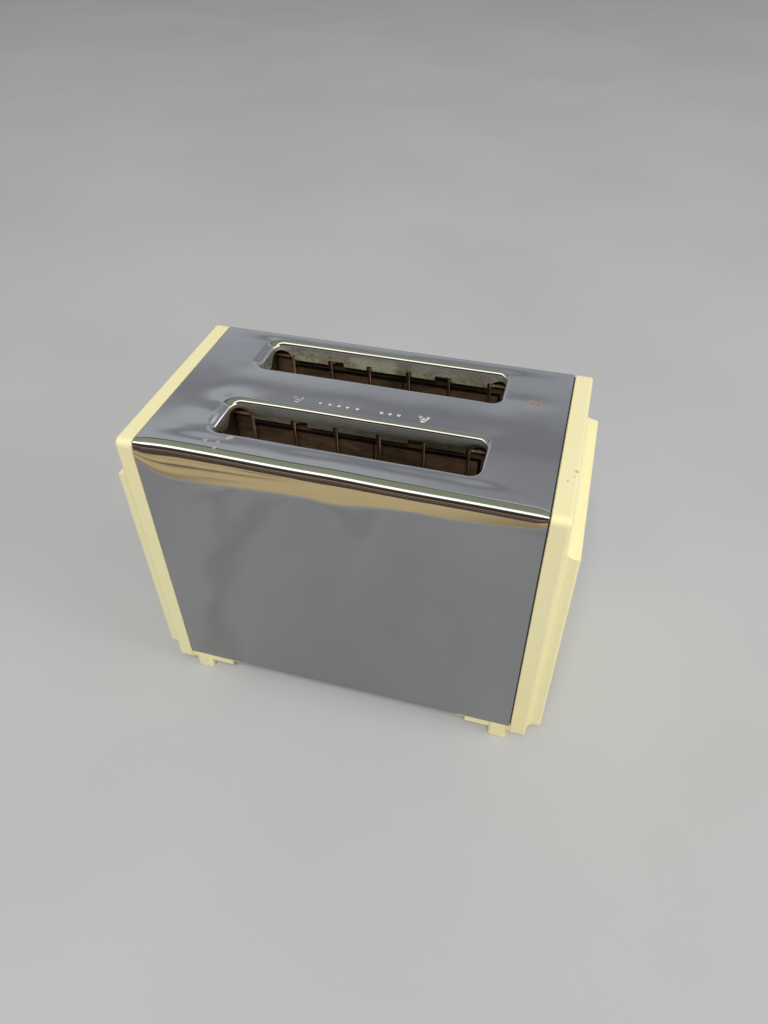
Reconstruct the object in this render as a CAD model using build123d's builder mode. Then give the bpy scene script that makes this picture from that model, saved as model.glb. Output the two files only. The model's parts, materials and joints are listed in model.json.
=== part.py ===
from build123d import *
import math
import os

os.makedirs("parts", exist_ok=True)

# A two-slice pop-up toaster. A bright metal shell wraps front, top and back, and two cream
# end panels close it. All sizes are in millimetres.
# The frame: +Z up from the surface it stands on, X along the slots, Y across them.
# The front is at -Y. The lever and browning knob are at the control end, -X.
# Sizes are laid out about the middle of the body. Each finished piece is then moved by
# frame_shift, so that the part's origin lies under the middle of its whole length.

# Whole body
shell_length = 210.0
body_depth = 123.5
body_height = 178.2
foot_height = 7.8

# End panels
rim_width = 9.2
handle_depth = 7.8
handle_drop = 26.8
handle_rise = 8.8
handle_inset = 4.2
panel_wall = 2.6
rim_corner = 4.0
rim_low_corner = 1.6
rim_edge = 1.4
cove_radius = 5.5
handle_edge = 1.6
shelf_rise = 5.6
shelf_length = 28.0
shelf_width = 26.0
floor_reach = 12.0
tongue_length = 5.6
tongue_thickness = 1.6
shelf_setback = 1.4
side_cove = 2.4
foot_width = 11.4
foot_corner = 2.4
foot_from_end = 7.7
foot_from_face = 5.9
foot_edge = 1.2
spigot_reach = 5.5
spigot_wall = 1.6
spigot_clearance = 0.3

# Bright shell with its two bread slots
sheet = 0.8
shell_inset = 0.3
panel_gap = 0.3
front_fold = 8.0
rear_fold = 3.0
hem_width = 8.0
hem_fold = 1.0
seat_gap = 0.1
slot_length = 139.0
slot_width = 28.0
slot_corner = 5.0
slot_shift = -1.5
lip_radius = 3.0
near_slot_from_face = 36.2
far_slot_from_face = 25.0
skirt_depth = 11.3
notch_depth = 2.8
notch_width = 3.0
wide_notch_width = 9.8
relief_radius = 6.0

# Bread guards
guard_pitch = 24.0
guard_wires = 6
wire_radius = 0.8
wire_sides = 6
guard_rail_radius = 0.95
guard_elbow = 2.5
guard_hook = 3.2
guard_weld = 0.35
guard_notch_gap = 0.2
rail_overhang = 0.5
rail_clearance = 0.1

# Chassis
base_sheet = 1.0
base_clearance = 1.1
crumb_opening_length = 128.0
crumb_opening_width = 76.0
end_plate_sheet = 1.0
end_plate_gap = 1.5
end_plate_flange = 12.0
end_plate_side_gap = 3.0
top_clearance = 0.4
reflector_sheet = 0.6
reflector_flange = 6.0
reflector_margin = 6.0

# Heater cards and their ribbons
card_sheet = 0.8
card_offset = 19.3
card_seam_x = 6.0
card_seam_gap = 0.8
card_margin = 8.0
card_foot_gap = 16.0
card_end_gap = 0.3
card_tab_height = 10.0
card_tab_low = 50.0
card_tab_high = 146.0
tab_clearance = 0.3
tab_recess = 0.1
ribbon_width = 1.6
ribbon_thickness = 0.4
ribbon_gap = 0.2
ribbon_turns = 11
ribbon_end_margin = 9.0

# Crumb tray and its hinge
tray_sheet = 0.8
tray_overlap = 5.0
tray_depth = 3.9
tray_seat_gap = 1.3
tray_finger_length = 6.0
tray_finger_width = 30.0
hinge_pin_radius = 1.2
hinge_pin_setback = 4.5
knuckle_radius = 2.3
knuckle_length = 10.0
knuckle_spread = 50.0
ear_thickness = 1.5
ear_gap = 0.3
tray_corner = 3.0
running_clearance = 0.05

# Carriage, racks and lever
travel = 82.0
rack_lift = 4.6
rack_bar_height = 7.0
rack_bar_thickness = 1.2
rack_cross_width = 18.0
rack_cross_height = 4.0
rack_tail = 5.0
rack_slot_clearance = 1.0
carriage_from_plate = 11.0
carriage_sheet = 1.2
crossbar_height = 12.0
crossbar_overhang = 6.0
rod_radius = 2.5
rod_from_carriage = 4.8
sleeve_wall = 2.0
sleeve_lift = 2.0
sleeve_height = 24.0
rod_bracket_drop = 9.0
rod_bracket_reach = 6.0
rod_bracket_flange = 8.0
rod_bracket_corner = 3.0
rod_overhang = 1.0
upright_width = 8.0
upright_margin = 1.5
carriage_corner = 2.0
lever_lift = 35.0
lever_height = 6.0
lever_thickness = 3.0
lever_slot_clearance = 0.8
lever_slot_margin = 1.5
spring_coil_radius = 3.2
spring_wire_radius = 0.5
spring_turns = 7
spring_from_rod = 6.5
spring_from_plate = 5.5
spring_seat_gap = 0.3
spring_tab_margin = 1.0
knob_reach = 24.0
knob_width = 30.0
knob_height = 12.0
knob_gap = 2.5
knob_engagement = 15.0
knob_fit = 0.1
knob_corner = 6.0
knob_edge = 1.5
dish_radius = 22.0
dish_depth = 1.6

# Browning control
shaft_radius = 3.0
shaft_height = 26.2
boss_wall = 2.2
boss_to_cam = 2.0
dial_radius = 13.0
dial_depth = 11.0
dial_gap = 0.6
dial_grip_width = 6.0
dial_grip_height = 5.0
dial_flutes = 14
flute_radius = 0.9
dial_grip_inset = 1.5
dial_edge = 1.2
shaft_overhang = 1.5
cam_small_radius = 5.2
cam_throw = 2.0
cam_sweep = 270.0
cam_dwell = 22.0
cam_tip_gap = 0.1
cam_thickness = 3.0
cam_gap = 1.5
bracket_sheet = 1.0
bracket_from_plate = 24.0
bracket_height = 32.0
bracket_reach = 17.0
bracket_end_y = 9.0
bracket_corner = 1.5
bracket_foot = 10.0
guide_inset = 3.0
slider_wall = 1.2
slider_height = 3.0
slider_thickness = 2.0
slider_length = 27.0
slider_clearance = 0.3
blade_gap = 0.4
bimetal_sheet = 0.6
bimetal_width = 10.0
bimetal_top = 62.0
bimetal_corner = 2.0

# Latch
latch_y = -12.0
latch_thickness = 1.2
latch_arm_width = 4.0
latch_pin_radius = 1.5
latch_pin_height = 48.6
latch_hub_radius = 2.2
latch_tooth_height = 3.6
latch_tooth_gap = 0.4
latch_side_gap = 0.6
latch_ear = 1.0
latch_ear_gap = 0.3
latch_tab_width = 8.0
latch_tab_margin = 1.5
nose_length = 4.9
nose_width = 6.0
nose_height = 3.0

# Electrical blocks, leads and cord inlet
block_length = 9.0
block_width = 12.0
block_height = 20.6
block_clearance = 1.0
block_edge = 0.8
blade_width = 5.0
blade_thickness = 0.5
blade_reach = 5.0
blade_step = 2.4
blade_drop = 3.0
blade_tail = 1.0
blade_fit = 0.05
lead_radius = 1.3
lead_bend = 6.0
lead_spread = 1.6
inlet_y = 40.0
inlet_height = 18.0
inlet_slot_length = 11.0
inlet_slot_width = 7.4
bushing_wall = 2.0
bushing_flange = 2.2
bushing_gap = 0.2

# Fasteners
screw_radius = 1.6
screw_head_radius = 3.2
screw_head_height = 2.0
screw_hole_clearance = 0.2
thread_clearance = 0.05
chassis_screw_length = 6.0
panel_screw_length = 8.0
panel_screw_from_end = 14.0
panel_screw_from_face = 20.5
chassis_screw_from_face = 32.5

# Positions that follow from the sizes above
half_length = shell_length / 2
half_depth = body_depth / 2
body_bottom = foot_height
body_top = body_bottom + body_height
shell_half = half_length - panel_gap
shell_y = half_depth - shell_inset
shell_top = body_top - shell_inset
shelf_top = body_bottom + shelf_rise
shell_bottom = shelf_top + seat_gap
base_bottom = shell_bottom + sheet + seat_gap
base_top = base_bottom + base_sheet
near_slot_y = -half_depth + near_slot_from_face
far_slot_y = half_depth - far_slot_from_face
slot_centres = {"near": near_slot_y, "far": far_slot_y}
end_plate_x = slot_length / 2 + lip_radius + end_plate_gap
skirt_bottom = shell_top - skirt_depth
wire_x = [slot_shift + (i - (guard_wires - 1) / 2) * guard_pitch for i in range(guard_wires)]
wire_offset = slot_width / 2 + sheet / 2 + 0.2
rail_z = base_top + rack_lift
rack_rest = base_top + rack_lift + travel
carriage_x = end_plate_x + end_plate_sheet + carriage_from_plate
rod_x = carriage_x + carriage_sheet + rod_from_carriage
rod_y = (near_slot_y + far_slot_y) / 2
lever_z = rack_rest + lever_lift
handle_x = half_length + rim_width + handle_depth
frame_shift = knob_reach / 2
shaft_z = foot_height + shaft_height
bracket_x = end_plate_x + end_plate_sheet + bracket_from_plate
cam_x = bracket_x + bracket_sheet + cam_gap
bracket_top = base_top + bracket_height
latch_pin_z = base_top + latch_pin_height
nose_tip_x = carriage_x + carriage_sheet + nose_length
latch_front_x = nose_tip_x + latch_side_gap
latch_pin_x = latch_front_x + latch_arm_width
rod_bracket_z = shell_top - rod_bracket_drop
inlet_z = foot_height + inlet_height


def save(builder, name):
    """Moves a finished piece into the part's frame, labels it and writes its STEP file."""
    builder.part.move(Location((frame_shift, 0, 0)))
    builder.part.label = name
    export_step(builder.part, f"parts/{name}.step")
    return builder.part


# Bright shell. One sheet is folded over front, top and back, hemmed below, and flanged down
# round both slots. The flange has a notch for each guard wire and a relief at each corner.
with BuildPart() as shell:
    with BuildSketch(Plane.YZ.offset(-shell_half)) as section:
        with BuildLine():
            front_top = (-shell_y, shell_top)
            rear_top = (shell_y, shell_top)
            front_low = (-shell_y, shell_bottom)
            rear_low = (shell_y, shell_bottom)
            FilletPolyline(
                (-shell_y + hem_width, shell_bottom),
                front_low,
                front_top,
                rear_top,
                rear_low,
                (shell_y - hem_width, shell_bottom),
                radius=[hem_fold, front_fold, rear_fold, hem_fold],
            )
            FilletPolyline(
                (shell_y - hem_width, shell_bottom),
                (shell_y - hem_width, shell_bottom + sheet),
                (shell_y - sheet, shell_bottom + sheet),
                (shell_y - sheet, shell_top - sheet),
                (-shell_y + sheet, shell_top - sheet),
                (-shell_y + sheet, shell_bottom + sheet),
                (-shell_y + hem_width, shell_bottom + sheet),
                (-shell_y + hem_width, shell_bottom),
                radius=[
                    0,
                    hem_fold - sheet,
                    rear_fold - sheet,
                    front_fold - sheet,
                    hem_fold - sheet,
                    0,
                ],
            )
        make_face()
    extrude(amount=2 * shell_half)
    lip_half_x = slot_length / 2 + lip_radius
    lip_half_y = slot_width / 2 + lip_radius
    for slot_y in slot_centres.values():
        skirt_plane = Plane.XY.offset(skirt_bottom)
        with BuildSketch(skirt_plane):
            with Locations((slot_shift, slot_y)):
                RectangleRounded(slot_length + 2 * sheet, slot_width + 2 * sheet, slot_corner + sheet)
        extrude(amount=skirt_depth - sheet / 2)
        under_edges = (
            shell.edges()
            .filter_by_position(Axis.Z, shell_top - sheet - 0.01, shell_top - sheet + 0.01)
            .filter_by_position(Axis.Y, slot_y - lip_half_y, slot_y + lip_half_y)
            .filter_by_position(Axis.X, slot_shift - lip_half_x, slot_shift + lip_half_x)
            .filter_by(lambda edge: edge.length < slot_length)
        )
        fillet(under_edges, lip_radius - sheet)
        with BuildSketch(skirt_plane):
            with Locations((slot_shift, slot_y)):
                RectangleRounded(slot_length, slot_width, slot_corner)
        extrude(amount=skirt_depth, mode=Mode.SUBTRACT)
        rim_edges = (
            shell.edges()
            .filter_by_position(Axis.Z, shell_top - 0.01, shell_top + 0.01)
            .filter_by_position(Axis.Y, slot_y - lip_half_y, slot_y + lip_half_y)
            .filter_by_position(Axis.X, slot_shift - lip_half_x, slot_shift + lip_half_x)
            .filter_by(lambda edge: edge.length < slot_length)
        )
        fillet(rim_edges, lip_radius)
        for x in wire_x:
            from_middle = x - slot_shift
            wide = abs(abs(from_middle) - 1.5 * guard_pitch) < 1
            width = wide_notch_width if wide else notch_width
            shift = (wide_notch_width - notch_width) / 2 if wide else 0
            centre_x = x - shift if from_middle > 0 else x + shift
            with BuildSketch(skirt_plane):
                with Locations((centre_x, slot_y)):
                    Rectangle(width, slot_width + 4 * sheet)
            extrude(amount=notch_depth, mode=Mode.SUBTRACT)
        corner_x = slot_length / 2 - slot_corner / 2
        corner_y = slot_width / 2 - slot_corner / 2
        for side_x in (-1, 1):
            for side_y in (-1, 1):
                turn = 45 * side_x * side_y
                spot_x = slot_shift + side_x * corner_x
                spot = Location((spot_x, slot_y + side_y * corner_y, skirt_bottom), (0, 0, turn))
                with Locations(spot):
                    Cylinder(relief_radius, 4 * slot_corner, rotation=(0, 90, 0), mode=Mode.SUBTRACT)
save(shell, "chrome_shell")


def screw_group(centres, head_bottom, length):
    """Pan-head screws that point up, one solid for each centre, heads at the bottom."""
    with BuildPart() as screws:
        for x, y in centres:
            with BuildSketch(Plane.XY.offset(head_bottom)):
                with Locations((x, y)):
                    Circle(screw_head_radius)
            extrude(amount=screw_head_height)
            with BuildSketch(Plane.XY.offset(head_bottom + screw_head_height)):
                with Locations((x, y)):
                    Circle(screw_radius)
            extrude(amount=length)
    return screws


# End panels. Each is one hollow moulding: a rim that stands proud of the shell's profile, a
# raised hand-hold with coved ledges, a spigot that fits inside the shell, two shelves that
# carry the shell's lower edge, and two feet.
rim_x = half_length + rim_width
handle_bottom = body_bottom + handle_rise
handle_top = body_top - handle_drop
handle_half = half_depth - handle_inset
foot_x = half_length - foot_from_end
foot_y = half_depth - foot_from_face
panel_screw_x = half_length - panel_screw_from_end
panel_screw_y = half_depth - panel_screw_from_face
panel_screw_centres = [(i * panel_screw_x, j * panel_screw_y) for i in (-1, 1) for j in (-1, 1)]
spigot_y = shell_y - sheet - spigot_clearance
spigot_top = shell_top - sheet - spigot_clearance
spigot_bottom = base_top + spigot_clearance


def end_panel(side):
    """One end panel. A side of 1 is the plain end at +X, and -1 the control end at -X."""
    with BuildPart() as panel:
        with BuildSketch(Plane.YZ.offset(side * half_length)) as rim:
            with Locations((0, (body_bottom + body_top) / 2)):
                Rectangle(body_depth, body_height)
            fillet(rim.vertices().group_by(Axis.Y)[-1], rim_corner)
            fillet(rim.vertices().group_by(Axis.Y)[0], rim_low_corner)
        extrude(amount=side * rim_width)
        fillet(panel.faces().sort_by(Axis.X)[-1 if side > 0 else 0].edges(), rim_edge)

        # Raised hand-hold, drawn from the side and drawn out to its width
        with BuildSketch(Plane.XZ):
            with BuildLine():
                low_cove = (side * rim_x, handle_bottom - cove_radius)
                high_cove = (side * rim_x, handle_top + cove_radius)
                low_ledge = (side * (rim_x + cove_radius), handle_bottom)
                high_ledge = (side * (rim_x + cove_radius), handle_top)
                root_x = side * (rim_x - rim_edge)
                RadiusArc(low_cove, low_ledge, side * cove_radius)
                low_corner = (side * handle_x, handle_bottom)
                high_corner = (side * handle_x, handle_top)
                Polyline(low_ledge, low_corner, high_corner, high_ledge)
                RadiusArc(high_ledge, high_cove, side * cove_radius)
                Polyline(high_cove, (root_x, high_cove[1]), (root_x, low_cove[1]), low_cove)
            make_face()
        extrude(amount=handle_half, both=True)
        outer_edges = panel.faces().sort_by(Axis.X)[-1 if side > 0 else 0].edges()
        fillet(outer_edges, handle_edge)
        root_edges = (
            panel.edges()
            .filter_by(Axis.Z)
            .filter_by_position(Axis.X, side * rim_x - 0.01, side * rim_x + 0.01)
            .filter_by(lambda edge: abs(abs(edge.center().Y) - handle_half) < 0.01)
        )
        fillet(root_edges, side_cove)

        # Spigot round the inside of the shell's open end
        with BuildSketch(Plane.YZ.offset(side * (half_length + panel_wall))):
            with BuildLine():
                inner_y = spigot_y - spigot_wall
                inner_top = spigot_top - spigot_wall
                front_radius = front_fold - sheet - spigot_clearance
                rear_radius = rear_fold - sheet - spigot_clearance
                FilletPolyline(
                    (-spigot_y, spigot_bottom),
                    (-spigot_y, spigot_top),
                    (spigot_y, spigot_top),
                    (spigot_y, spigot_bottom),
                    radius=[front_radius, rear_radius],
                )
                FilletPolyline(
                    (spigot_y, spigot_bottom),
                    (inner_y, spigot_bottom),
                    (inner_y, inner_top),
                    (-inner_y, inner_top),
                    (-inner_y, spigot_bottom),
                    (-spigot_y, spigot_bottom),
                    radius=[0, rear_radius - spigot_wall, front_radius - spigot_wall, 0],
                )
            make_face()
        extrude(amount=-side * (spigot_reach + panel_wall))

        # Hollow inside, open towards the shell
        with BuildSketch(Plane.YZ.offset(side * half_length)):
            with Locations((0, (body_bottom + body_top) / 2)):
                Rectangle(body_depth - 2 * panel_wall, body_height - 2 * panel_wall)
        extrude(amount=side * (rim_width - panel_wall), mode=Mode.SUBTRACT)
        with BuildSketch(Plane.YZ.offset(side * half_length)):
            with Locations((0, (handle_bottom + handle_top) / 2)):
                cavity_height = handle_top - handle_bottom - 2 * panel_wall
                Rectangle(2 * (handle_half - panel_wall), cavity_height)
        extrude(amount=side * (rim_width + handle_depth - panel_wall), mode=Mode.SUBTRACT)

        # Floor strip between the shelves, under the end of the base plate
        with BuildSketch(Plane.XY.offset(body_bottom)):
            with Locations((side * (half_length - (floor_reach - panel_wall) / 2), 0)):
                Rectangle(floor_reach + panel_wall, body_depth - 2 * shelf_width + 2 * panel_wall)
        extrude(amount=panel_wall)

        # Shelves under the shell's lower edge, each with a thin tongue, and the feet
        for face in (-1, 1):
            shelf_y = face * (half_depth - (shelf_width + shelf_setback) / 2)
            with BuildSketch(Plane.XY.offset(body_bottom)) as shelf:
                with Locations((side * (half_length - shelf_length / 2 + panel_wall / 2), shelf_y)):
                    Rectangle(shelf_length + panel_wall, shelf_width - shelf_setback)
            extrude(amount=shelf_rise)
            with BuildSketch(Plane.XY.offset(shelf_top)):
                with Locations((side * (half_length - shelf_length - tongue_length / 2), shelf_y)):
                    Rectangle(tongue_length, shelf_width - shelf_setback)
            extrude(amount=-tongue_thickness)
            with BuildSketch(Plane.XY):
                with Locations((side * foot_x, face * foot_y)):
                    RectangleRounded(foot_width, foot_width, foot_corner)
            extrude(amount=foot_height + shelf_rise)
            fillet(panel.faces().sort_by(Axis.Z)[0].edges(), foot_edge)
            spot = (side * panel_screw_x, face * panel_screw_y)
            with BuildSketch(Plane.XY.offset(shelf_top)):
                with Locations(spot):
                    Circle(screw_head_radius)
            extrude(amount=base_bottom - shelf_top)
            with BuildSketch(Plane.XY.offset(body_bottom)):
                with Locations(spot):
                    Circle(screw_radius + screw_hole_clearance)
            extrude(amount=base_bottom - body_bottom, mode=Mode.SUBTRACT)
            with BuildSketch(Plane.XY.offset(body_bottom)):
                with Locations(spot):
                    Circle(screw_head_radius + screw_hole_clearance)
            extrude(amount=screw_head_height + screw_hole_clearance, mode=Mode.SUBTRACT)

        if side < 0:
            # Slot for the lever, hole and boss for the browning shaft, inlet for the lead
            inner_x = handle_x - panel_wall
            boss_length = inner_x - cam_x - cam_thickness - boss_to_cam
            with BuildSketch(Plane.YZ.offset(-inner_x)):
                with Locations((0, shaft_z)):
                    Circle(shaft_radius + boss_wall)
            extrude(amount=boss_length)
            with BuildSketch(Plane.YZ.offset(-handle_x)):
                with Locations((0, shaft_z)):
                    Circle(shaft_radius + running_clearance)
            extrude(amount=panel_wall + boss_length, mode=Mode.SUBTRACT)
            slot_low = lever_z - lever_height / 2 - travel - lever_slot_margin
            slot_high = lever_z + lever_height / 2 + lever_slot_margin
            with BuildSketch(Plane.YZ.offset(-handle_x)):
                with Locations((0, (slot_low + slot_high) / 2)):
                    Rectangle(lever_thickness + 2 * lever_slot_clearance, slot_high - slot_low)
            extrude(amount=handle_depth + rim_width, mode=Mode.SUBTRACT)
            with BuildSketch(Plane.YZ.offset(-handle_x)):
                with Locations((inlet_y, inlet_z)):
                    SlotOverall(inlet_slot_length, inlet_slot_width)
            extrude(amount=panel_wall, mode=Mode.SUBTRACT)
    return panel


save(end_panel(1), "plain_end_panel")
save(end_panel(-1), "control_end_panel")
panel_screws = screw_group(panel_screw_centres, body_bottom + screw_hole_clearance, panel_screw_length)
save(panel_screws, "panel_screws")

# Base plate under the chassis, with the crumb opening, screw holes and the ears of the tray
base_half_x = rim_x - panel_wall - base_clearance
base_half_y = half_depth - panel_wall - base_clearance
tray_half_x = crumb_opening_length / 2 + tray_overlap
tray_half_y = crumb_opening_width / 2 + tray_overlap
tray_top = base_bottom - tray_seat_gap
tray_bottom = tray_top - tray_depth
pin_y = tray_half_y + hinge_pin_setback
pin_z = base_bottom - knuckle_radius - ear_gap
chassis_screw_x = end_plate_x + end_plate_sheet + end_plate_flange / 2
chassis_screw_y = half_depth - chassis_screw_from_face
chassis_screw_centres = [(i * chassis_screw_x, j * chassis_screw_y) for i in (-1, 1) for j in (-1, 1)]
ear_offset = knuckle_length / 2 + ear_gap + ear_thickness / 2

with BuildPart() as base_plate:
    with BuildSketch(Plane.XY.offset(base_bottom)):
        Rectangle(2 * base_half_x, 2 * base_half_y)
        RectangleRounded(crumb_opening_length, crumb_opening_width, slot_corner, mode=Mode.SUBTRACT)
        with Locations(*panel_screw_centres, *chassis_screw_centres):
            Circle(screw_radius + thread_clearance, mode=Mode.SUBTRACT)
    extrude(amount=base_sheet)
    for side in (-1, 1):
        for ear in (-1, 1):
            ear_x = side * knuckle_spread + ear * ear_offset
            with BuildSketch(Plane.YZ.offset(ear_x - ear_thickness / 2)):
                with Locations((pin_y, pin_z)):
                    Circle(knuckle_radius)
                with Locations((pin_y, (pin_z + base_bottom) / 2)):
                    Rectangle(2 * knuckle_radius, base_bottom - pin_z)
                with Locations((pin_y, pin_z)):
                    Circle(hinge_pin_radius + running_clearance, mode=Mode.SUBTRACT)
            extrude(amount=ear_thickness)
save(base_plate, "base_plate")

# Crumb tray: a shallow pan with a finger lip at the front and two knuckles on its rear edge
with BuildPart() as crumb_tray:
    with BuildSketch(Plane.XY.offset(tray_bottom)):
        Rectangle(2 * tray_half_x, 2 * tray_half_y)
    extrude(amount=tray_depth)
    fillet(crumb_tray.edges().filter_by(Axis.Z), tray_corner)
    with BuildSketch(Plane.XY.offset(tray_bottom + tray_sheet)):
        Rectangle(2 * (tray_half_x - tray_sheet), 2 * (tray_half_y - tray_sheet))
    extrude(amount=tray_depth, mode=Mode.SUBTRACT)
    with BuildSketch(Plane.XY.offset(tray_bottom)) as finger_lip:
        with Locations((0, -tray_half_y - tray_finger_length / 2 + tray_sheet)):
            Rectangle(tray_finger_width, tray_finger_length)
        fillet(finger_lip.vertices().group_by(Axis.Y)[0], tray_corner)
    extrude(amount=tray_sheet)
    for side in (-1, 1):
        with BuildSketch(Plane.YZ.offset(side * knuckle_spread - knuckle_length / 2)):
            with Locations((pin_y, pin_z)):
                Circle(knuckle_radius)
            with Locations(((tray_half_y + pin_y - tray_sheet) / 2, pin_z)):
                Rectangle(pin_y - tray_half_y + tray_sheet, 2 * tray_sheet)
            with Locations((pin_y, pin_z)):
                Circle(hinge_pin_radius + running_clearance, mode=Mode.SUBTRACT)
        extrude(amount=knuckle_length)
save(crumb_tray, "crumb_tray")

with BuildPart() as tray_pins:
    for side in (-1, 1):
        pin_half = ear_offset + ear_thickness
        with BuildSketch(Plane.YZ.offset(side * knuckle_spread - pin_half)):
            with Locations((pin_y, pin_z)):
                Circle(hinge_pin_radius)
        extrude(amount=2 * pin_half)
save(tray_pins, "tray_hinge_pins")

chassis_screws = screw_group(chassis_screw_centres, base_bottom - screw_head_height, chassis_screw_length)
save(chassis_screws, "chassis_screws")

# Chassis end plates. Slots guide the bread racks and seat the tabs of the heater cards.
plate_half_y = shell_y - sheet - end_plate_side_gap
plate_top = shell_top - sheet - top_clearance
card_offsets = {"near_outer": near_slot_y - card_offset, "near_inner": near_slot_y + card_offset}
card_offsets["far_inner"] = far_slot_y - card_offset
card_offsets["far_outer"] = far_slot_y + card_offset
card_facing = {"near_outer": 1, "near_inner": -1, "far_inner": 1, "far_outer": -1}
low_rail_offset = wire_offset + wire_radius + guard_rail_radius - guard_weld
high_rail_offset = wire_offset + guard_hook - guard_rail_radius
hook_z = skirt_bottom + notch_depth - wire_radius - guard_notch_gap
high_rail_z = hook_z - wire_radius - guard_rail_radius + guard_weld
rack_slot_low = rail_z - rack_slot_clearance
rack_slot_high = rack_rest + rack_bar_height + rack_slot_clearance


def end_plate(side):
    """The chassis end plate on one side, folded outwards at its foot."""
    with BuildPart() as plate:
        with BuildSketch(Plane.YZ.offset(side * end_plate_x)) as face:
            with Locations((0, (base_top + plate_top) / 2)):
                Rectangle(2 * plate_half_y, plate_top - base_top)
            fillet(face.vertices().group_by(Axis.Y)[-1].sort_by(Axis.X)[0], front_fold)
            fillet(face.vertices().group_by(Axis.Y)[-1].sort_by(Axis.X)[-1], rear_fold)
            for slot_y in slot_centres.values():
                with Locations((slot_y, (rack_slot_low + rack_slot_high) / 2)):
                    slot_size = rack_bar_thickness + 2 * rack_slot_clearance
                    Rectangle(slot_size, rack_slot_high - rack_slot_low, mode=Mode.SUBTRACT)
                for wall in (-1, 1):
                    low_hole = (slot_y + wall * low_rail_offset, rail_z)
                    high_hole = (slot_y + wall * high_rail_offset, high_rail_z)
                    with Locations(low_hole, high_hole):
                        Circle(guard_rail_radius + rail_clearance, mode=Mode.SUBTRACT)
            for card_y in card_offsets.values():
                for tab_z in (card_tab_low, card_tab_high):
                    with Locations((card_y, tab_z)):
                        tab_slot = card_sheet + 2 * tab_clearance
                        Rectangle(tab_slot, card_tab_height + 2 * tab_clearance, mode=Mode.SUBTRACT)
        extrude(amount=side * end_plate_sheet)
        flange_start = end_plate_x + end_plate_sheet / 2
        flange_end = end_plate_x + end_plate_sheet + end_plate_flange
        with BuildSketch(Plane.XY.offset(base_top)):
            with Locations((side * (flange_start + flange_end) / 2, 0)):
                Rectangle(flange_end - flange_start, 2 * plate_half_y)
            with Locations(*chassis_screw_centres):
                Circle(screw_radius + thread_clearance, mode=Mode.SUBTRACT)
            with Locations(*panel_screw_centres):
                Circle(screw_head_radius, mode=Mode.SUBTRACT)
        extrude(amount=end_plate_sheet)
    return plate


save(end_plate(-1), "control_end_plate")
save(end_plate(1), "plain_end_plate")

# Reflector sheets in front of and behind the heater cards, clipped round the end plates
card_bottom = base_top + card_foot_gap
card_top = shell_top - sheet - card_margin
reflector_top = high_rail_z - reflector_margin


def reflector(face):
    """A reflector sheet on the front (-1) or rear (1) edges of the chassis end plates."""
    with BuildPart() as sheet_part:
        plate_outer = end_plate_x + end_plate_sheet
        web = plate_half_y + reflector_sheet
        with BuildSketch(Plane.XY.offset(card_bottom)):
            with BuildLine():
                Polyline(
                    (plate_outer, face * (plate_half_y - reflector_flange)),
                    (plate_outer + reflector_sheet, face * (plate_half_y - reflector_flange)),
                    (plate_outer + reflector_sheet, face * web),
                    (-plate_outer - reflector_sheet, face * web),
                    (-plate_outer - reflector_sheet, face * (plate_half_y - reflector_flange)),
                    (-plate_outer, face * (plate_half_y - reflector_flange)),
                    (-plate_outer, face * plate_half_y),
                    (plate_outer, face * plate_half_y),
                    close=True,
                )
            make_face()
        extrude(amount=reflector_top - card_bottom)
    return sheet_part


save(reflector(-1), "front_reflector")
save(reflector(1), "rear_reflector")

# Heater cards with their tabs, and one continuous ribbon wound to and fro on each
card_half_x = end_plate_x - card_end_gap
ribbon_low = card_bottom + ribbon_end_margin
ribbon_high = card_top - ribbon_end_margin
ribbon_pitch = (ribbon_high - ribbon_low) / (ribbon_turns - 1)
ribbon_half_x = card_half_x - ribbon_end_margin


def heater_card(card_y):
    """A heat-proof card between the end plates, with a relief slit from its top edge."""
    with BuildPart() as card:
        with BuildSketch(Plane.XZ.offset(-card_y - card_sheet / 2)):
            with Locations((0, (card_bottom + card_top) / 2)):
                Rectangle(2 * card_half_x, card_top - card_bottom)
            for tab_z in (card_tab_low, card_tab_high):
                with Locations((0, tab_z)):
                    Rectangle(2 * (end_plate_x + end_plate_sheet - tab_recess), card_tab_height)
            slit_bottom = card_bottom + card_margin
            with Locations((card_seam_x, (slit_bottom + card_top) / 2)):
                Rectangle(card_seam_gap, card_top - slit_bottom, mode=Mode.SUBTRACT)
        extrude(amount=card_sheet)
    return card


def heater_ribbon(card_y, facing):
    """The ribbon on a card's bread side: straight runs joined by alternate end links."""
    with BuildPart() as ribbon:
        back = card_y + facing * (card_sheet / 2 + ribbon_gap)
        with BuildSketch(Plane.XZ.offset(-back)):
            for i in range(ribbon_turns):
                run_z = ribbon_low + i * ribbon_pitch
                with Locations((0, run_z)):
                    Rectangle(2 * ribbon_half_x, ribbon_width)
                if i < ribbon_turns - 1:
                    link_x = (ribbon_half_x - ribbon_width / 2) * (1 if i % 2 else -1)
                    with Locations((link_x, run_z + ribbon_pitch / 2)):
                        Rectangle(ribbon_width, ribbon_pitch)
        extrude(amount=-facing * ribbon_thickness)
    return ribbon


for name, card_y in card_offsets.items():
    save(heater_card(card_y), f"{name}_card")
    save(heater_ribbon(card_y, card_facing[name]), f"{name}_ribbon")

# Bread guards: upright wires hooked through the notches of the shell's flange, welded to two
# rails that end in the chassis end plates
rail_half_x = end_plate_x + end_plate_sheet + rail_overhang


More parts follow.
